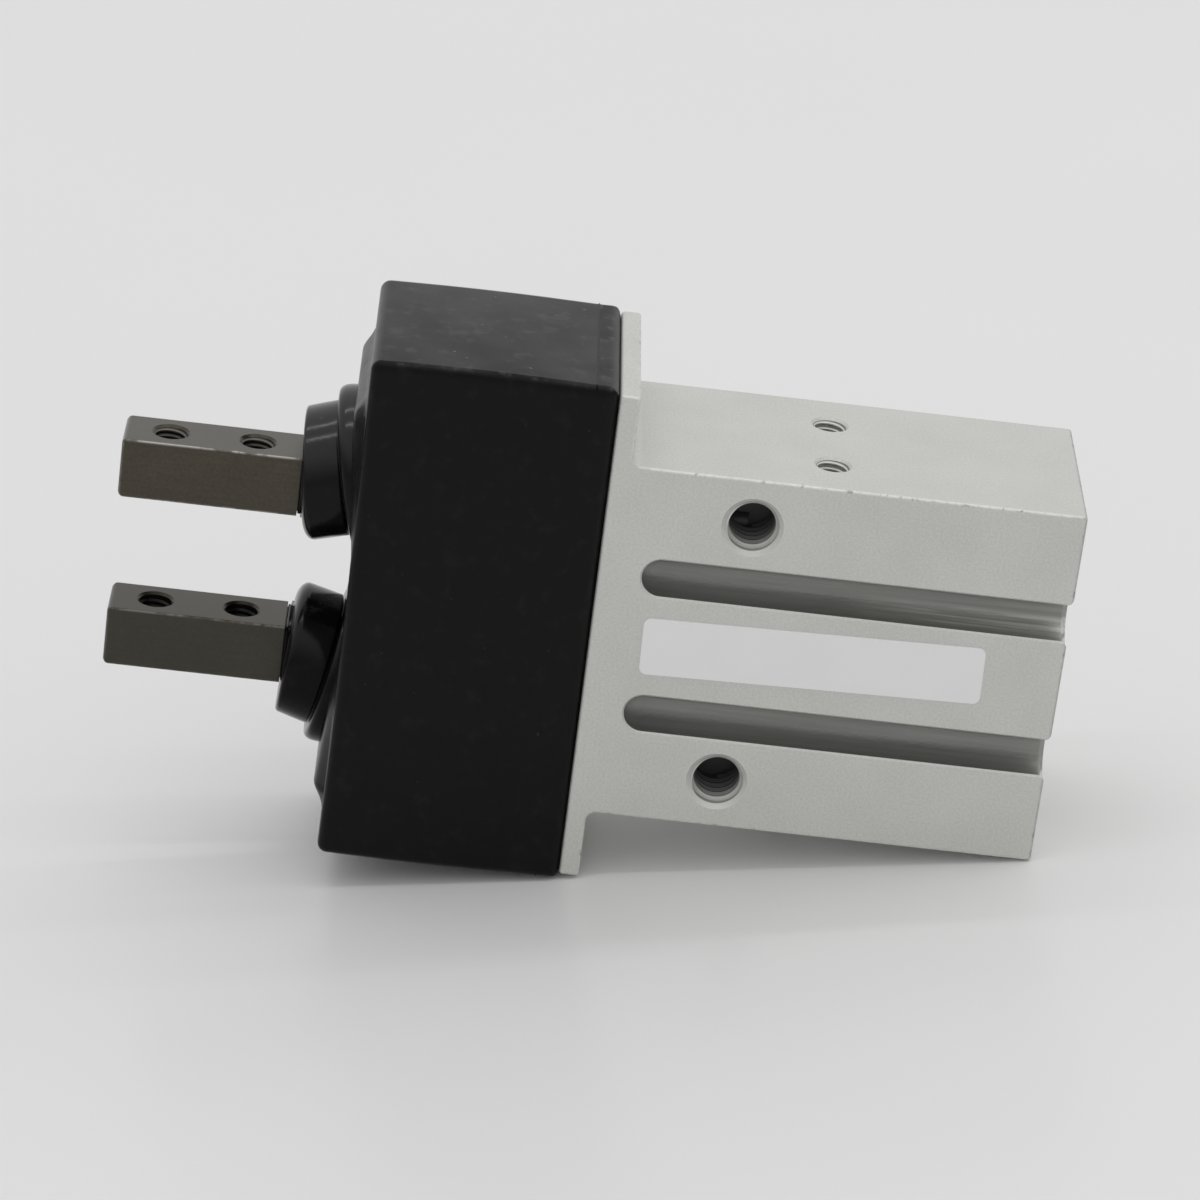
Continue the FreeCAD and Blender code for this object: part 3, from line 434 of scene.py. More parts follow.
def groove_mask(tree, y, z):
    """Mask of the sensor grooves, below the chamfer of their mouths, where shade is painted."""
    from_groove = math_of(tree, "SUBTRACT", math_of(tree, "ABSOLUTE", z), GROOVE_OFFSET)
    off_middle = math_of(tree, "ABSOLUTE", from_groove)
    beside = ramp(tree, off_middle, GROOVE_HALF_WIDTH, GROOVE_HALF_WIDTH + 0.1, 1.0, 0.0)
    lip = PORT_FACE + GROOVE_LIP
    under = ramp(tree, y, lip, lip + 0.12)
    before_back = ramp(tree, y, PORT_FACE + GROOVE_REACH, PORT_FACE + GROOVE_REACH + 0.5, 1.0, 0.0)
    return times(tree, beside, under, before_back)


def port_masks(tree, x, y, z):
    """Masks of the ports' countersinks and of the walls inside them, where shade is painted."""
    port = Vector(mounts["upper_port"]["pos_m"]) / MM
    radius = mounts["upper_port"]["dims"]["r_mm"]
    along = math_of(tree, "SUBTRACT", x, port.x)
    across = math_of(tree, "SUBTRACT", math_of(tree, "ABSOLUTE", z), port.z)
    squares = math_of(tree, "ADD", times(tree, along, along), times(tree, across, across))
    away = math_of(tree, "SQRT", squares)
    before_back = ramp(tree, y, PORT_FACE + PORT_REACH, PORT_FACE + PORT_REACH + 0.5, 1.0, 0.0)
    deep = ramp(tree, y, PORT_FACE + PORT_SINK + 0.2, PORT_FACE + PORT_SINK + 0.7)
    sink = ramp(tree, away, radius + PORT_SINK, radius + PORT_SINK + 0.08, 1.0, 0.0)
    wall = ramp(tree, away, radius + 0.9, radius + 1.0, 1.0, 0.0)
    return times(tree, sink, before_back), times(tree, wall, before_back, deep)


def anodised_material():
    """Sand-blasted and anodised aluminium: fine grain, worn edges with dark nicks, painted shade in the
    grooves and ports, and a painted reflection in the upper groove.
    """
    material, tree, shader, point = new_material("sand_blasted_anodised")
    x, y, z = parts_of(tree, point)
    fine = noise(tree, point, 0.2, 2.0)
    cloud = noise(tree, point, 5.0, 2.0)
    grain = math_of(tree, "ADD", times(tree, fine, 0.75), times(tree, cloud, 0.25))
    colour = mix(tree, ramp(tree, grain, 0.3, 0.7), *BODY_TONES)

    edge = body_edges(tree, point)
    ragged = ramp(tree, noise(tree, point, 0.6, 4.0), 0.3, 0.6)
    colour = mix(tree, times(tree, edge, ragged, 0.7), colour, BODY_WORN)
    chips = ramp(tree, noise(tree, point, 1.0, 5.0, 0.7), 0.56, 0.61)
    colour = mix(tree, times(tree, edge, chips, 0.8), colour, BODY_NICK)
    rear = ramp(tree, x, -REAR_WEAR, -REAR_WEAR + 0.15)
    rear_edge = times(tree, edge, rear, ramp(tree, fine, 0.2, 0.6, 0.5, 1.0))
    colour = mix(tree, times(tree, rear_edge, 0.8), colour, BODY_REAR_EDGE)
    pits = place_group(tree, specks, {"Point": point, "Spacing": 6.0, "Size": 0.05})
    colour = mix(tree, times(tree, pits, 0.45), colour, BODY_PIT)

    # Painted shade: the grooves get a much darker tone of drawn metal. The drawn lines are their own
    # finish, and the darkness stands in for the shade inside them.
    groove = groove_mask(tree, y, z)
    drawn = brushed(tree, point, 14.0, 0.35)
    groove_painted_light = mix(tree, ramp(tree, drawn, 0.25, 0.75), *GROOVE_SHADE_TONES)
    # Painted reflection: a pale strip along the upper groove stands in for the bright table mirrored in its
    # curved wall.
    painted_reflection = times(
        tree,
        ramp(tree, x, *REFLECTION_ALONG),
        ramp(tree, z, *REFLECTION_FROM),
        ramp(tree, z, *REFLECTION_TO, 1.0, 0.0),
        ramp(tree, drawn, 0.35, 0.6, 0.3, 1.0),
    )
    groove_painted_light = mix(tree, times(tree, painted_reflection, 0.8), groove_painted_light, GROOVE_PAINTED_REFLECTION)
    colour = mix(tree, groove, colour, groove_painted_light)

    sink, wall = port_masks(tree, x, y, z)
    colour = mix(tree, times(tree, sink, 0.6), colour, PORT_RIM)
    # Painted shade: the walls inside the ports darken with depth, standing in for the shade in the holes.
    port_shade_depth = ramp(tree, y, PORT_FACE + 0.4, PORT_FACE + 2.4)
    colour = mix(tree, wall, colour, mix(tree, port_shade_depth, PORT_WALL_SHADE, PORT_DEEP_SHADE))
    tree.links.new(colour, shader.inputs["Base Color"])
    rough = math_of(tree, "SUBTRACT", spread(tree, fine, 0.42, 0.56), times(tree, groove, 0.12))
    tree.links.new(rough, shader.inputs["Roughness"])
    shader.inputs["Metallic"].default_value = 0.55
    bump(tree, shader, fine, 0.02)
    return material


def rubber_material(name, roughness, shine, top_shine, lower_shade_share, glance, dust_and_top_light, relief):
    """Moulded black rubber that shines at a glancing angle, with dust, painted top light and marks on what
    faces up.
    """
    material, tree, shader, point = new_material(name)
    x, _, z = parts_of(tree, point)
    cloud = noise(tree, point, 3.0, 4.0)
    fine = noise(tree, point, 0.25, 3.0)
    colour = mix(tree, cloud, *RUBBER_TONES)
    normal = add(tree, "NewGeometry").outputs["Normal"]
    height = parts_of(tree, normal)[2]
    up = ramp(tree, height, 0.75, 0.98)
    patches = ramp(tree, noise(tree, point, 5.0, 3.0), 0.3, 0.75)
    # Dust and painted top light: faces that point up are made paler. This is partly dust and partly painted
    # light from above.
    colour = mix(tree, times(tree, up, patches, dust_and_top_light), colour, RUBBER_DUST_AND_TOP_LIGHT)
    shown = math_of(tree, "ADD", times(tree, up, 0.5), 0.06)
    smudges = ramp(tree, noise(tree, point, 1.6, 5.0, 0.65), 0.52, 0.72)
    line = cover_rim - PARTING_LINE
    on_end = ramp(tree, math_of(tree, "ABSOLUTE", height), 0.4, 0.7)
    rim = times(tree, on_end, ramp(tree, x, line, line + 0.1))
    smudged = math_of(tree, "ADD", 0.5, times(tree, rim, 0.8))
    colour = mix(tree, times(tree, smudges, shown, smudged), colour, RUBBER_SMUDGE)
    lint = place_group(tree, specks, {"Point": point, "Spacing": 1.0, "Size": 0.14})
    colour = mix(tree, times(tree, lint, shown), colour, RUBBER_LINT)
    scratches = place_group(tree, scuffs, {"Point": point, "Stretch": (5.0, 0.5, 5.0), "Level": 0.68})
    colour = mix(tree, times(tree, scratches, shown, 0.5), colour, RUBBER_SCRATCH)
    tree.links.new(colour, shader.inputs["Base Color"])
    dull = math_of(tree, "ADD", times(tree, smudges, 0.08), times(tree, rim, 0.08))
    rough = math_of(tree, "ADD", spread(tree, cloud, roughness, roughness + 0.1), dull)
    tree.links.new(rough, shader.inputs["Roughness"])
    facing = add(tree, "LayerWeight", None, {"Blend": 0.5}).outputs["Facing"]
    level = ramp(tree, height, 0.2, 0.6, shine, top_shine)
    glancing = ramp(tree, facing, 0.55, 0.8, 0.0, glance)
    past_line = math_of(tree, "ABSOLUTE", math_of(tree, "SUBTRACT", x, line))
    in_line = times(tree, on_end, ramp(tree, past_line, 0.06, 0.12, 0.6, 0.0))
    dulled = math_of(tree, "SUBTRACT", 1.0, math_of(tree, "ADD", in_line, times(tree, rim, 0.05)))
    level = times(tree, math_of(tree, "ADD", level, glancing), math_of(tree, "MAXIMUM", dulled, 0.1))
    # Painted shade: below the axis the shine drops by a share. This dims the lower boot, which lies in the
    # shade of the upper finger and boot.
    level = times(tree, level, ramp(tree, z, -2.0, 2.0, lower_shade_share, 1.0))
    tree.links.new(level, shader.inputs["Specular IOR Level"])
    uneven = math_of(tree, "ADD", times(tree, fine, 0.2), times(tree, cloud, 0.8))
    bump(tree, shader, uneven, relief)
    return material


def finger_edges(tree, point):
    """Mask of the edges of both fingers."""
    bands = []
    for side in (-1, 1):
        band = {
            "Point": point,
            "Middle": ((FINGER_ROOT + FINGER_TIP) / 2, 0.0, side * FINGER_MIDDLE),
            "Half": ((FINGER_ROOT - FINGER_TIP) / 2, FINGER_WIDTH / 2, FINGER_THICKNESS / 2),
            "Width": FINGER_WEAR,
        }
        bands.append(place_group(tree, edge_band, band))
    return math_of(tree, "MAXIMUM", *bands)


def burnished_material():
    """Oiled black steel with fine grain, bare worn edges, rust along one edge of the lower finger, and
    painted shade on the lower finger.
    """
    material, tree, shader, point = new_material("burnished_steel")
    _, y, z = parts_of(tree, point)
    fine = noise(tree, point, 0.22, 3.0)
    lines = brushed(tree, point, 4.0, 0.12)
    cloud = noise(tree, point, 3.0, 3.0)
    tone = math_of(tree, "ADD", times(tree, fine, 0.4), times(tree, lines, 0.3))
    tone = math_of(tree, "ADD", tone, times(tree, cloud, 0.3))
    # Painted shade: the lower finger is darker, as it lies in the shade of the upper finger and its boot.
    # The same mask also places the rust.
    lower = ramp(tree, z, -1.0, 1.0, 1.0, 0.0)
    shade = math_of(tree, "SUBTRACT", ramp(tree, tone, 0.3, 0.7), times(tree, lower, 0.3))
    colour = mix(tree, shade, *FINGER_TONES)
    colour = mix(tree, times(tree, lower, 0.5), colour, FINGER_LOWER_SHADE)
    edge = finger_edges(tree, point)
    ragged = ramp(tree, noise(tree, point, 1.0, 4.0), 0.38, 0.58, 0.2, 1.0)
    bare = times(tree, edge, ragged, math_of(tree, "SUBTRACT", 1.0, times(tree, lower, 0.6)))
    colour = mix(tree, bare, colour, FINGER_BARE)
    front = ramp(tree, y, -2.0, -1.5, 1.0, 0.0)
    patches = ramp(tree, noise(tree, point, 0.9, 4.0, 0.6), 0.5, 0.62)
    rust = times(tree, edge, lower, front, patches)
    colour = mix(tree, times(tree, rust, 0.8), colour, FINGER_RUST)
    tree.links.new(colour, shader.inputs["Base Color"])
    rough = math_of(tree, "ADD", spread(tree, tone, 0.34, 0.48), times(tree, rust, 0.3))
    tree.links.new(rough, shader.inputs["Roughness"])
    shader.inputs["Metallic"].default_value = 1.0
    # Painted shade: the lower finger gets less coat, so it reflects less.
    tree.links.new(ramp(tree, z, -1.0, 1.0, 0.55, 0.85), shader.inputs["Coat Weight"])
    shader.inputs["Coat Roughness"].default_value = 0.3
    bump(tree, shader, fine, 0.006)
    return material


def thread_material(name, crest_colour, valley_shade, deep_shade, fade):
    """Cut thread with pale crests and painted shade in its valleys, which darkens from one depth to
    another.
    """
    material, tree, shader, point = new_material(name)
    depth = add(tree, "Attribute", {"attribute_name": "depth"}).outputs["Fac"]
    crest = add(tree, "Attribute", {"attribute_name": "crest"}).outputs["Fac"]
    uneven = math_of(tree, "ADD", depth, times(tree, noise(tree, point, 0.4), 0.2))
    # Painted shade: the valleys and the deeper turns are darker, standing in for the shade between the
    # ridges and down the hole.
    colour = mix(tree, ramp(tree, crest, 0.1, 0.8), valley_shade, crest_colour)
    colour = mix(tree, ramp(tree, uneven, *fade), colour, deep_shade)
    tree.links.new(colour, shader.inputs["Base Color"])
    shader.inputs["Roughness"].default_value = 0.4
    shader.inputs["Metallic"].default_value = 0.6
    return material


def label_material():
    """White semi-gloss film with a faint unevenness."""
    material, tree, shader, point = new_material("label_film")
    cloud = noise(tree, point, 4.0, 2.0)
    tree.links.new(mix(tree, cloud, *LABEL_TONES), shader.inputs["Base Color"])
    tree.links.new(spread(tree, cloud, 0.28, 0.4), shader.inputs["Roughness"])
    bump(tree, shader, cloud, 0.02)
    return material


def metal_material(name, tones, roughness):
    """Ground or turned metal with fine lines along X."""
    material, tree, shader, point = new_material(name)
    lines = brushed(tree, point, 5.0, 0.12)
    tree.links.new(mix(tree, lines, *tones), shader.inputs["Base Color"])
    tree.links.new(spread(tree, lines, roughness, roughness + 0.15), shader.inputs["Roughness"])
    shader.inputs["Metallic"].default_value = 1.0
    bump(tree, shader, lines, 0.004)
    return material


def moulded_material(name, tones, roughness):
    """Plain moulded or sintered stuff with a cloudy tone."""
    material, tree, shader, point = new_material(name)
    cloud = noise(tree, point, 1.2, 4.0)
    tree.links.new(mix(tree, cloud, *tones), shader.inputs["Base Color"])
    tree.links.new(spread(tree, cloud, roughness, roughness + 0.15), shader.inputs["Roughness"])
    bump(tree, shader, cloud, 0.01)
    return material


def floor_material():
    """Pale smooth table top, clear from below so that a low view still shows the part."""
    material, tree, shader, point = new_material("table_top")
    cloud = noise(tree, point, 60.0, 2.0)
    tree.links.new(mix(tree, cloud, *TABLE_TONES), shader.inputs["Base Color"])
    shader.inputs["Roughness"].default_value = 0.28
    shader.inputs["Specular IOR Level"].default_value = 0.35
    below = add(tree, "NewGeometry").outputs["Backfacing"]
    tree.links.new(math_of(tree, "SUBTRACT", 1.0, below), shader.inputs["Alpha"])
    return material


anodised = anodised_material()
cover_rubber = rubber_material(
    "cover_rubber", roughness=0.26, shine=0.13, top_shine=0.09, lower_shade_share=1.0,
    glance=0.37, dust_and_top_light=0.2, relief=0.008,
)
boot_rubber = rubber_material(
    "boot_rubber", roughness=0.11, shine=0.15, top_shine=0.48, lower_shade_share=0.6,
    glance=0.2, dust_and_top_light=0.15, relief=0.02,
)
burnished = burnished_material()
label_film = label_material()
port_thread = thread_material(
    "port_thread", crest_colour=alloy(0.72), valley_shade=alloy(0.5), deep_shade=grey(0.2),
    fade=(0.6, 2.4),
)
side_thread = thread_material(
    "side_thread", crest_colour=alloy(0.8), valley_shade=grey(0.07), deep_shade=grey(0.12),
    fade=(0.9, 2.0),
)
finger_thread = thread_material(
    "finger_thread", crest_colour=grey(0.17, 0.1), valley_shade=grey(0.025), deep_shade=grey(0.015),
    fade=(0.5, 1.5),
)
bright_steel = metal_material("bright_steel", STEEL_TONES, roughness=0.25)
bronze = metal_material("sintered_bronze", BRONZE_TONES, roughness=0.4)
seal_rubber = moulded_material("seal_rubber", SEAL_TONES, roughness=0.4)
urethane = moulded_material("urethane", URETHANE_TONES, roughness=0.3)
magnet = moulded_material("sintered_magnet", MAGNET_TONES, roughness=0.5)
wear_band = moulded_material("wear_band", BAND_TONES, roughness=0.45)

SLOT_MATERIALS = {
    "anodised_aluminium": anodised,
    "cover_rubber": cover_rubber,
    "burnished_steel": burnished,
    "bright_steel": bright_steel,
    "bronze": bronze,
    "seal_rubber": seal_rubber,
    "urethane": urethane,
    "magnet": magnet,
    "wear_band": wear_band,
    "label_film": label_film,
}

for subpart in record["subparts"]:
    node_mesh = frame["nodes"][subpart["node"]].data
    node_mesh.materials.clear()
    node_mesh.materials.append(SLOT_MATERIALS[subpart["material_slot"]])


# Pieces


def new_piece(name, bm, material, smooth_angle):
    """Object from a mesh in millimetres, with its place in the mesh."""
    bmesh.ops.scale(bm, vec=(MM, MM, MM), verts=bm.verts)
    bmesh.ops.recalc_face_normals(bm, faces=bm.faces)
    mesh = bpy.data.meshes.new(name)
    bm.to_mesh(mesh)
    bm.free()
    mesh.shade_smooth()
    mesh.set_sharp_from_angle(angle=math.radians(smooth_angle))
    mesh.materials.append(material)
    piece = bpy.data.objects.new(name, mesh)
    bpy.context.scene.collection.objects.link(piece)
    return piece


def round_edges(bm, edges, radius, segments):
    """Rounded edges."""
    bmesh.ops.bevel(
        bm, geom=edges, offset=radius, offset_type="OFFSET", segments=segments,
        profile=0.5, affect="EDGES", material=-1, clamp_overlap=True,
    )


def cut_at(bm, axis, place):
    """New edges all round a mesh where a plane across one axis meets it."""
    normal = Vector((0.0, 0.0, 0.0))
    normal[axis] = 1.0
    geometry = bm.verts[:] + bm.edges[:] + bm.faces[:]
    bmesh.ops.bisect_plane(bm, geom=geometry, dist=CUT_REACH, plane_co=normal * place, plane_no=normal)


def clamp(value, low, high):
    """Value kept between two limits."""
    return max(low, min(high, value))


def smooth_step(share):
    """Smooth rise from 0 to 1."""
    share = clamp(share, 0.0, 1.0)
    return share * share * (3.0 - 2.0 * share)


def hole_edges(bm, x):
    """Two round outlines for the fingers in a plane across X."""
    edges = []
    for side in (-1, 1):
        turned = Matrix.Rotation(math.radians(90), 4, "Y")
        moved = Matrix.Translation((x, 0.0, side * BOOT_ROOT_OFFSET))
        made = bmesh.ops.create_circle(
            bm, segments=BOOT_HOLE_STEPS, radius=BOOT_HOLE_RADIUS, matrix=moved @ turned,
        )
        ring = set(made["verts"])
        edges += [edge for edge in bm.edges if edge.verts[0] in ring and edge.verts[1] in ring]
    return edges


def cover_shell():
    """Outer walls of the cover with the holes for the fingers, open at the rim."""
    bm = bmesh.new()
    bmesh.ops.create_cube(bm, size=1.0)
    rear = cover_rim - RIM_ROUNDING
    bmesh.ops.scale(bm, vec=(rear - cover_front, 2 * cover_half_y, 2 * cover_half_z), verts=bm.verts)
    bmesh.ops.translate(bm, vec=((rear + cover_front) / 2, 0.0, 0.0), verts=bm.verts)
    bm.normal_update()
    bmesh.ops.delete(bm, geom=[face for face in bm.faces if face.normal.x > 0.5], context="FACES_ONLY")
    round_edges(bm, [edge for edge in bm.edges if not edge.is_boundary], COVER_EDGE, COVER_EDGE_STEPS)
    bm.normal_update()
    front = max(bm.faces, key=lambda face: -face.normal.x * face.calc_area())
    outline = list(front.edges)
    bmesh.ops.delete(bm, geom=[front], context="FACES_ONLY")
    outline += hole_edges(bm, cover_front)
    bmesh.ops.triangle_fill(bm, use_beauty=True, edges=outline, normal=(-1.0, 0.0, 0.0))
    return bm


def pad_height(y, z):
    """How far the pads stand out of the front wall."""
    rise = (abs(z) - PAD_START) / (PAD_END - PAD_START)
    fall = (PAD_END + PAD_BEVEL - abs(z)) / PAD_BEVEL
    lower = min(rise, fall)
    rounded = lower - math.log1p(math.exp(-PAD_SHARPNESS * abs(rise - fall))) / PAD_SHARPNESS
    side = clamp((PAD_HALF_DEPTH - abs(y)) / PAD_SIDE_SLOPE, 0.0, 1.0)
    return PAD_HEIGHT * clamp(rounded, 0.0, 1.0) * math.sin(math.pi / 2 * side)


def shape_front(bm):
    """Pads raised out of the front wall, whose middle lies back and whose ends bow forward."""
    for side in (-1, 1):
        for share in PAD_SIDE_CUTS:
            cut_at(bm, 1, side * (PAD_HALF_DEPTH - share * PAD_SIDE_SLOPE))
        near_end = [PAD_END + step * PAD_END_CUT for step in (-2, -1, 0, 1)]
        for place in (PAD_START, *near_end, PAD_END + PAD_BEVEL):
            cut_at(bm, 2, side * place)
    for vert in bm.verts:
        if vert.co.x < cover_front + ON_PLANE:
            vert.co.x += FRONT_DIP * (1.0 - smooth_step(abs(vert.co.z) / DIP_REACH))
            vert.co.x -= pad_height(vert.co.y, vert.co.z)
        bow = UPPER_BOW if vert.co.z > 0.0 else LOWER_BOW
        felt = 1.0 - smooth_step((vert.co.x - cover_front) / BOW_REACH)
        vert.co.x -= bow * felt * (vert.co.z / cover_half_z) ** 2


def shape_walls(bm):
    """Gently swollen long walls with a fine parting line near the rim."""
    line = cover_rim - PARTING_LINE
    for place in (line - PARTING_WIDTH, line, line + PARTING_WIDTH):
        cut_at(bm, 0, place)
    length = line - cover_front
    for share in LENGTH_CUTS:
        cut_at(bm, 0, cover_front + share * length)
    for share in ACROSS_CUTS:
        cut_at(bm, 1, share * cover_half_y)
        cut_at(bm, 2, share * cover_half_z)
    for vert in bm.verts:
        x, y, z = vert.co
        on_end = abs(z) > cover_half_z - COVER_EDGE + ON_WALL
        on_side = abs(y) > cover_half_y - COVER_EDGE + ON_WALL
        swell = COVER_SWELL * math.sin(math.pi * clamp((x - cover_front) / length, 0.0, 1.0))
        if on_end:
            inset = PARTING_DEPTH if abs(x - line) < ON_PLANE else 0.0
            across = math.cos(math.pi / 2 * clamp(y / cover_half_y, -1.0, 1.0))
            vert.co.z += math.copysign(swell * (0.5 + 0.5 * across) - inset, z)
        if on_side:
            up = math.cos(math.pi / 2 * clamp(z / cover_half_z, -1.0, 1.0))
            vert.co.y += math.copysign(0.5 * swell * up, y)


def extrude_rim(bm, x, inset):
    """Next row of faces at the open end, at a place along X and an inset from the outer walls."""
    open_edges = [edge for edge in bm.edges if edge.is_boundary and edge.verts[0].co.x > cover_inside]
    made = bmesh.ops.extrude_edge_only(bm, edges=open_edges)
    limit_y = cover_half_y - inset
    limit_z = cover_half_z - inset
    for vert in made["geom"]:
        if isinstance(vert, bmesh.types.BMVert):
            vert.co = (x, clamp(vert.co.y, -limit_y, limit_y), clamp(vert.co.z, -limit_z, limit_z))


def close_inside(bm):
    """Inner walls, the inner side of the front wall and the walls of the finger holes."""
    extrude_rim(bm, cover_inside + ON_PLANE, COVER_WALL)
    bmesh.ops.remove_doubles(bm, verts=bm.verts, dist=MERGE_REACH)
    outer_holes = [edge for edge in bm.edges if edge.is_boundary and edge.verts[0].co.x < cover_inside]
    inner_outline = [edge for edge in bm.edges if edge.is_boundary and edge.verts[0].co.x > cover_inside]
    inner_holes = hole_edges(bm, cover_inside + ON_PLANE)
    bmesh.ops.triangle_fill(bm, use_beauty=True, edges=inner_outline + inner_holes, normal=(1.0, 0.0, 0.0))
    for side in (-1, 1):
        rims = [edge for edge in outer_holes + inner_holes if edge.verts[0].co.z * side > 0.0]
        bmesh.ops.bridge_loops(bm, edges=rims)


def make_dust_cover():
    """Rubber cap over the finger guides."""
    bm = cover_shell()
    shape_walls(bm)
    shape_front(bm)
    for step in range(1, RIM_STEPS + 1):
        angle = math.pi / 2 * step / RIM_STEPS
        depth = RIM_ROUNDING * (1.0 - math.sin(angle))
        extrude_rim(bm, cover_rim - depth, RIM_ROUNDING * (1.0 - math.cos(angle)))
    extrude_rim(bm, cover_rim, COVER_WALL)
    close_inside(bm)
    piece = new_piece("dust_cover_rubber", bm, cover_rubber, COVER_SMOOTH)
    even = piece.modifiers.new("even_shading", "WEIGHTED_NORMAL")
    even.keep_sharp = True
    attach(piece, "housing")
    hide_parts("dust_cover")


def boot_outside():
    """Outer section of a boot up to its tip: distance from the root and radius."""
    root = BOOT_ROOT_RADIUS
    tip = BOOT_TIP_RADIUS
    neck = BOOT_RING + BOOT_NECK / 2
    return [
        (-0.4, root - 0.1), (-0.2, root - 0.02), (0.1, root), (0.3, root - 0.02), (0.5, root - 0.09),
        (0.66, root - 0.24), (0.74, root - 0.44), (0.77, root - 0.7), (neck - 0.04, tip - 0.04),
        (neck - 0.02, tip - 0.12), (neck, tip - 0.14), (neck + 0.02, tip - 0.12), (neck + 0.04, tip - 0.07),
        (neck + 0.1, tip - 0.01), (neck + 0.2, tip), (1.8, tip), (2.5, tip),
    ]


def boot_lip():
    """Lip in the finger's groove: distance past the boot's tip and from the finger's skin."""
    return [
        (-0.05, 0.15), (0.0, -0.05), (0.04, -0.08), (0.19, -0.09),
        (0.22, -0.13), (0.22, -0.33), (-1.1, -0.33), (-1.2, 0.3),
    ]


def boot_inside():
    """Inner section of a boot back to its root."""
    return [(2.5, 4.45), (1.2, 4.7), (0.5, 4.85), (-0.4, BOOT_HOLE_RADIUS)]


def ring_point(along, radius, angle):
    """Point of the upper boot's rings, which tilt and lean towards the closed finger."""
    neck_end = BOOT_RING + BOOT_NECK
    to_neck = clamp(along / BOOT_RING, 0.0, 1.0)
    neck = clamp((along - BOOT_RING) / BOOT_NECK, 0.0, 1.0)
    past_neck = clamp((along - neck_end) / (BOOT_LENGTH - neck_end), 0.0, 1.0)
    rise = pad_rise + (neck_rise - pad_rise) * to_neck + (boot_rise - neck_rise) * past_neck
    lean = BOOT_NECK_LEAN * neck + (BOOT_LEAN - BOOT_NECK_LEAN) * past_neck
    up = radius * math.sin(angle) / math.hypot(1.0, rise)
    return boot_root - along - rise * up, radius * math.cos(angle), BOOT_ROOT_OFFSET - lean + up


def tip_point(turn, before, angle):
    """Point of the upper boot's rounded tip, some degrees round from its side to its front."""
    inner = ((1.0 - math.sin(angle)) / 2) ** TIP_NOSE_POWER
    length = TIP_EDGE + inner * (TIP_NOSE_LENGTH - TIP_EDGE)
    depth = TIP_EDGE + inner * (TIP_NOSE_DEPTH - TIP_EDGE)
    along = BOOT_LENGTH - before - length * (1.0 - math.sin(math.radians(turn)))
    return ring_point(along, BOOT_TIP_RADIUS - depth * (1.0 - math.cos(math.radians(turn))), angle)


def lip_point(past_tip, off_skin, angle):
    """Point of the upper boot's lip, which follows the finger's section."""
    half_y = FINGER_WIDTH / 2 + off_skin
    half_z = FINGER_THICKNESS / 2 + off_skin
    cosine = math.cos(angle)
    sine = math.sin(angle)
    power = FINGER_SQUARENESS
    reach = (abs(cosine / half_y) ** power + abs(sine / half_z) ** power) ** (-1.0 / power)
    return boot_tip - past_tip, reach * cosine, FINGER_MIDDLE + reach * sine


def make_boot(name, side, node):
    """Boot round one finger: root ring, tip ring and a lip that hugs the finger."""
    bm = bmesh.new()
    rank = bm.verts.layers.int.new("rank")
    section = [(ring_point, *point) for point in boot_outside()]
    section.append((tip_point, 0.0, TIP_START))
    section += [(tip_point, 90.0 * step / TIP_STEPS, 0.0) for step in range(TIP_STEPS + 1)]
    section += [(lip_point, *point) for point in boot_lip()]
    section += [(ring_point, *point) for point in boot_inside()]
    corners = [bm.verts.new((index, BOOT_ROOT_OFFSET, 0.0)) for index in range(len(section))]
    loop = [bm.edges.new((corners[index - 1], corners[index])) for index in range(len(corners))]
    for index, vert in enumerate(corners):
        vert[rank] = index
    bmesh.ops.spin(
        bm, geom=corners + loop, cent=(0, 0, 0), axis=(1, 0, 0), dvec=(0, 0, 0),
        angle=math.tau, steps=BOOT_STEPS, use_merge=True, use_duplicate=False,
    )
    for vert in bm.verts:
        kind, along, out = section[vert[rank]]
        x, y, z = kind(along, out, math.atan2(vert.co.z, vert.co.y))
        vert.co = (x, y, side * z)
    piece = new_piece(name, bm, boot_rubber, BOOT_SMOOTH)
    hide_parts(node)
    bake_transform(piece)


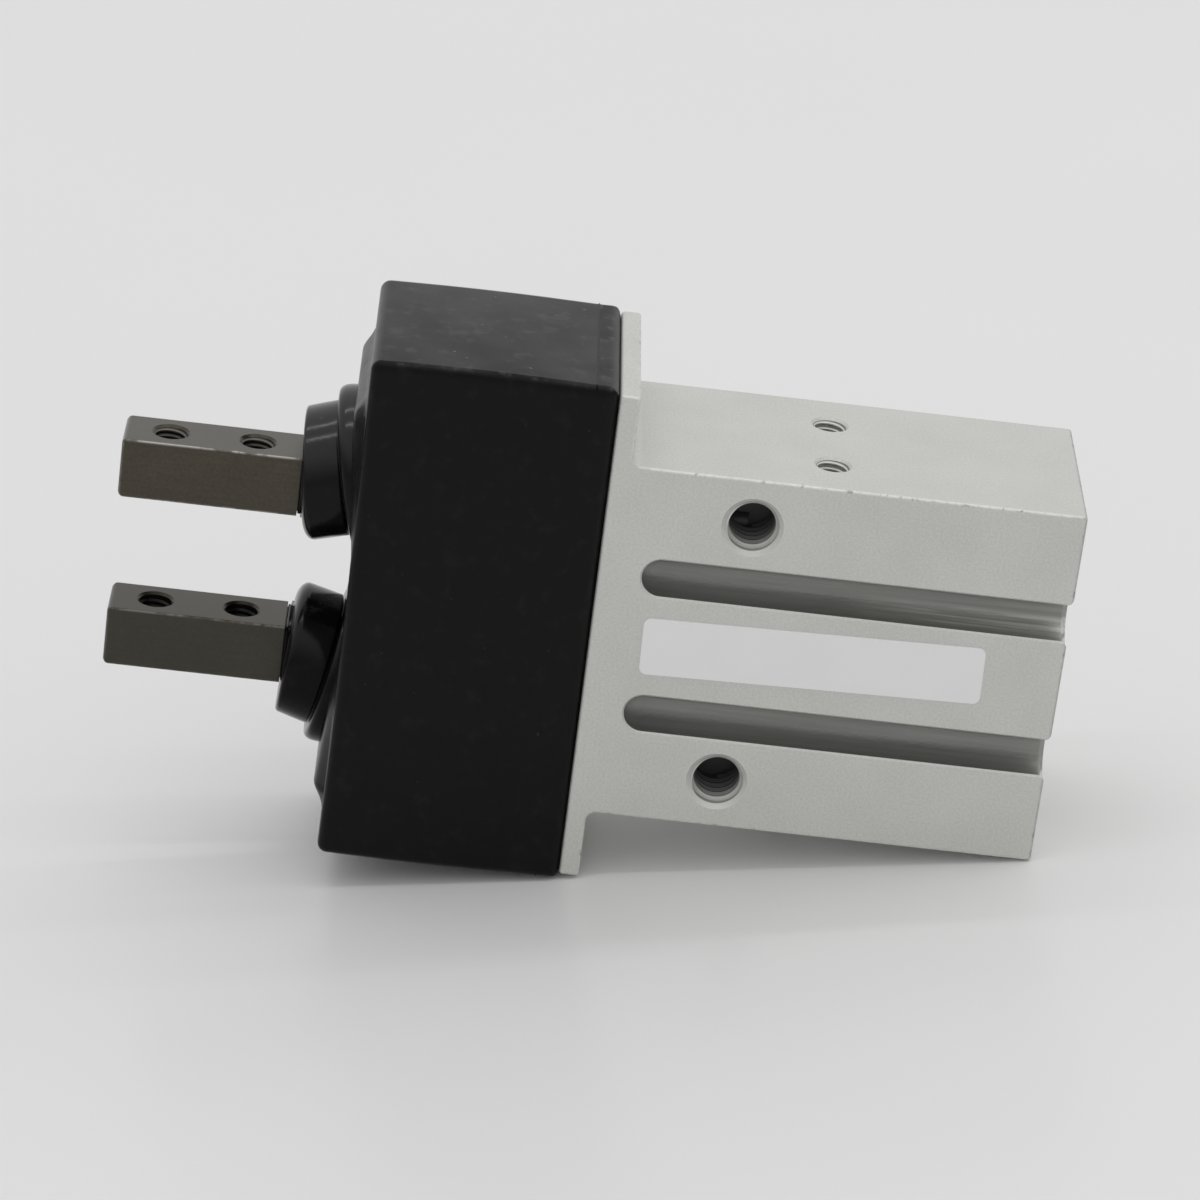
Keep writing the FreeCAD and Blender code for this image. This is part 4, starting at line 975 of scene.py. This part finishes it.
def make_thread(name, mouth, inwards, radius, thread, material, body):
    """Helical ridge of a tapped hole, which fades in under the countersink."""
    bm = bmesh.new()
    corner = bm.verts.layers.int.new("corner")
    depth = bm.verts.layers.float.new("depth")
    crest = bm.verts.layers.float.new("crest")
    pitch = thread["pitch"]
    sink = thread["sink"]
    run_in = THREAD_RUN_IN * pitch
    start = sink - run_in
    steps = int(((thread["end"] - start) / pitch - THREAD_RUN_OUT) * THREAD_STEPS)
    foot = radius + THREAD_EMBED
    offsets = [share * pitch for share in (-THREAD_FOOT, -THREAD_CREST, THREAD_CREST, THREAD_FOOT)]
    corners = [bm.verts.new((foot, 0.0, start + offset)) for offset in offsets]
    for index, vert in enumerate(corners):
        vert[corner] = index
    loop = [bm.edges.new((corners[index - 1], corners[index])) for index in range(len(corners))]
    bm.faces.new(corners)
    swept = bmesh.ops.spin(
        bm, geom=corners + loop, cent=(0, 0, 0), axis=(0, 0, 1), dvec=(0, 0, pitch / THREAD_STEPS),
        angle=math.tau * steps / THREAD_STEPS, steps=steps, use_duplicate=False,
    )
    last = [item for item in swept["geom_last"] if isinstance(item, bmesh.types.BMVert)]
    bmesh.ops.contextual_create(bm, geom=last)
    for vert in bm.verts:
        middle = vert.co.z - offsets[vert[corner]]
        if vert[corner] in (1, 2):
            vert[crest] = max(THREAD_START, smooth_step((middle - sink) / run_in))
            vert.co.xy *= (foot - (thread["ridge"] + THREAD_EMBED) * vert[crest]) / foot
        vert.co.z = max(vert.co.z, sink + THREAD_LAP * vert[corner])
        vert[depth] = vert.co.z
    across = Vector((1.0, 0.0, 0.0)) if abs(inwards.x) < 0.5 else Vector((0.0, 1.0, 0.0))
    turn = Matrix((across, inwards.cross(across), inwards)).transposed().to_4x4()
    bmesh.ops.transform(bm, matrix=Matrix.Translation(mouth) @ turn, verts=bm.verts)
    piece = new_piece(name, bm, material, THREAD_SMOOTH)
    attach(piece, body)


def hole_places(mount, sink):
    """Mouths of a mount's holes, in millimetres; a mount with a length lies half-way down its hole."""
    middle = Vector(mount["pos_m"]) / MM
    dims = mount["dims"]
    if "length_mm" in dims:
        middle += Vector(mount["axis"]) * (dims["length_mm"] / 2 + sink)
    across = [axis for axis in range(3) if abs(mount["axis"][axis]) < 0.5]
    step = Vector((0.0, 0.0, 0.0))
    step[across[0]] = dims.get("spacing_x_mm", 0.0) / 2
    step[across[1]] = dims.get("spacing_y_mm", 0.0) / 2
    return [middle - step, middle + step] if step.length else [middle]


def line_holes(mount_name, thread, material, slot, body):
    """Threads in all the holes of a mount."""
    mount = mounts[mount_name]
    dims = mount["dims"]
    radius = dims["r_mm"] if "r_mm" in dims else dims["hole_r_mm"]
    inwards = -Vector(mount["axis"])
    for index, mouth in enumerate(hole_places(mount, thread["sink"])):
        make_thread(f"{mount_name}_thread_{index}", mouth, inwards, radius, thread, material, body)


def make_threads():
    """Threads in the ports, the mounting holes and the fingers' holes."""
    in_body = ("anodised_aluminium", "housing")
    for side in ("upper", "lower"):
        line_holes(side + "_port", PORT_THREAD, port_thread, *in_body)
        line_holes(side + "_side_holes", SIDE_THREAD, side_thread, *in_body)
        line_holes(side + "_finger_holes", FINGER_THREAD, finger_thread, "burnished_steel", side + "_jaw")
    line_holes("rear_tapped_holes", REAR_THREAD, side_thread, *in_body)


# Stage


def make_floor():
    """Table top that the cover's rim and the rear end of the body rest on."""
    rim = Vector((cover_rim, 0.0, cover_low.z))
    heel = Vector((0.0, 0.0, -BLOCK_HALF_WIDTH))
    slope = math.atan2(heel.z - rim.z, heel.x - rim.x)
    bm = bmesh.new()
    bmesh.ops.create_grid(bm, x_segments=1, y_segments=1, size=TABLE_REACH)
    bmesh.ops.rotate(bm, cent=(0, 0, 0), matrix=Matrix.Rotation(-slope, 3, "Y"), verts=bm.verts)
    bmesh.ops.translate(bm, vec=rim + Vector((0.0, 0.0, -TABLE_GAP)), verts=bm.verts)
    bmesh.ops.scale(bm, vec=(MM, MM, MM), verts=bm.verts)
    mesh = bpy.data.meshes.new("table_top")
    bm.to_mesh(mesh)
    bm.free()
    mesh.materials.append(floor_material())
    floor = bpy.data.objects.new("table_top", mesh)
    bpy.context.scene.collection.objects.link(floor)


def make_camera():
    """Camera at the photograph's place."""
    lens = bpy.data.cameras.new("camera")
    lens.lens = CAMERA_LENS
    lens.sensor_width = CAMERA_SENSOR
    lens.clip_start = CAMERA_NEAR
    camera = bpy.data.objects.new("camera", lens)
    roll = Quaternion((0.0, 0.0, 1.0), math.radians(CAMERA_ROLL))
    camera.rotation_mode = "QUATERNION"
    camera.rotation_quaternion = Vector(CAMERA_LOOK).to_track_quat("-Z", "Y") @ roll
    camera.location = Vector(CAMERA_PLACE) * MM
    bpy.context.scene.collection.objects.link(camera)
    bpy.context.scene.camera = camera


def make_lamps():
    """Two strip lamps above, one a little behind the part and one a little in front of it."""
    for index, offset in enumerate(STRIP_OFFSETS):
        lamp = bpy.data.lights.new(f"strip_{index}", "AREA")
        lamp.shape = "RECTANGLE"
        lamp.size = STRIP_LENGTH
        lamp.size_y = STRIP_WIDTH
        lamp.energy = STRIP_POWER
        strip = bpy.data.objects.new(f"strip_{index}", lamp)
        strip.location = (cover_front * MM, offset, STRIP_HEIGHT)
        strip.rotation_mode = "QUATERNION"
        strip.rotation_quaternion = Vector((0.0, -offset, -STRIP_HEIGHT)).to_track_quat("-Z", "Y")
        bpy.context.scene.collection.objects.link(strip)


def make_world():
    """Even studio light, a little dimmer from the front."""
    world = bpy.data.worlds.new("studio")
    world.use_nodes = True
    tree = world.node_tree
    _, y, z = parts_of(tree, add(tree, "TexCoord").outputs["Generated"])
    height = ramp(tree, z, 0.0, 0.9, SKY_LOW, SKY_HIGH)
    level = times(tree, height, ramp(tree, y, -0.9, 0.2, SKY_FRONT, 1.0))
    tree.links.new(level, tree.nodes["Background"].inputs["Color"])
    bpy.context.scene.world = world


make_dust_cover()
make_boot("upper_boot_rubber", 1, "upper_finger_boot")
make_boot("lower_boot_rubber", -1, "lower_finger_boot")
make_threads()
make_floor()
make_camera()
make_lamps()
make_world()
bpy.context.scene.view_settings.view_transform = "Standard"
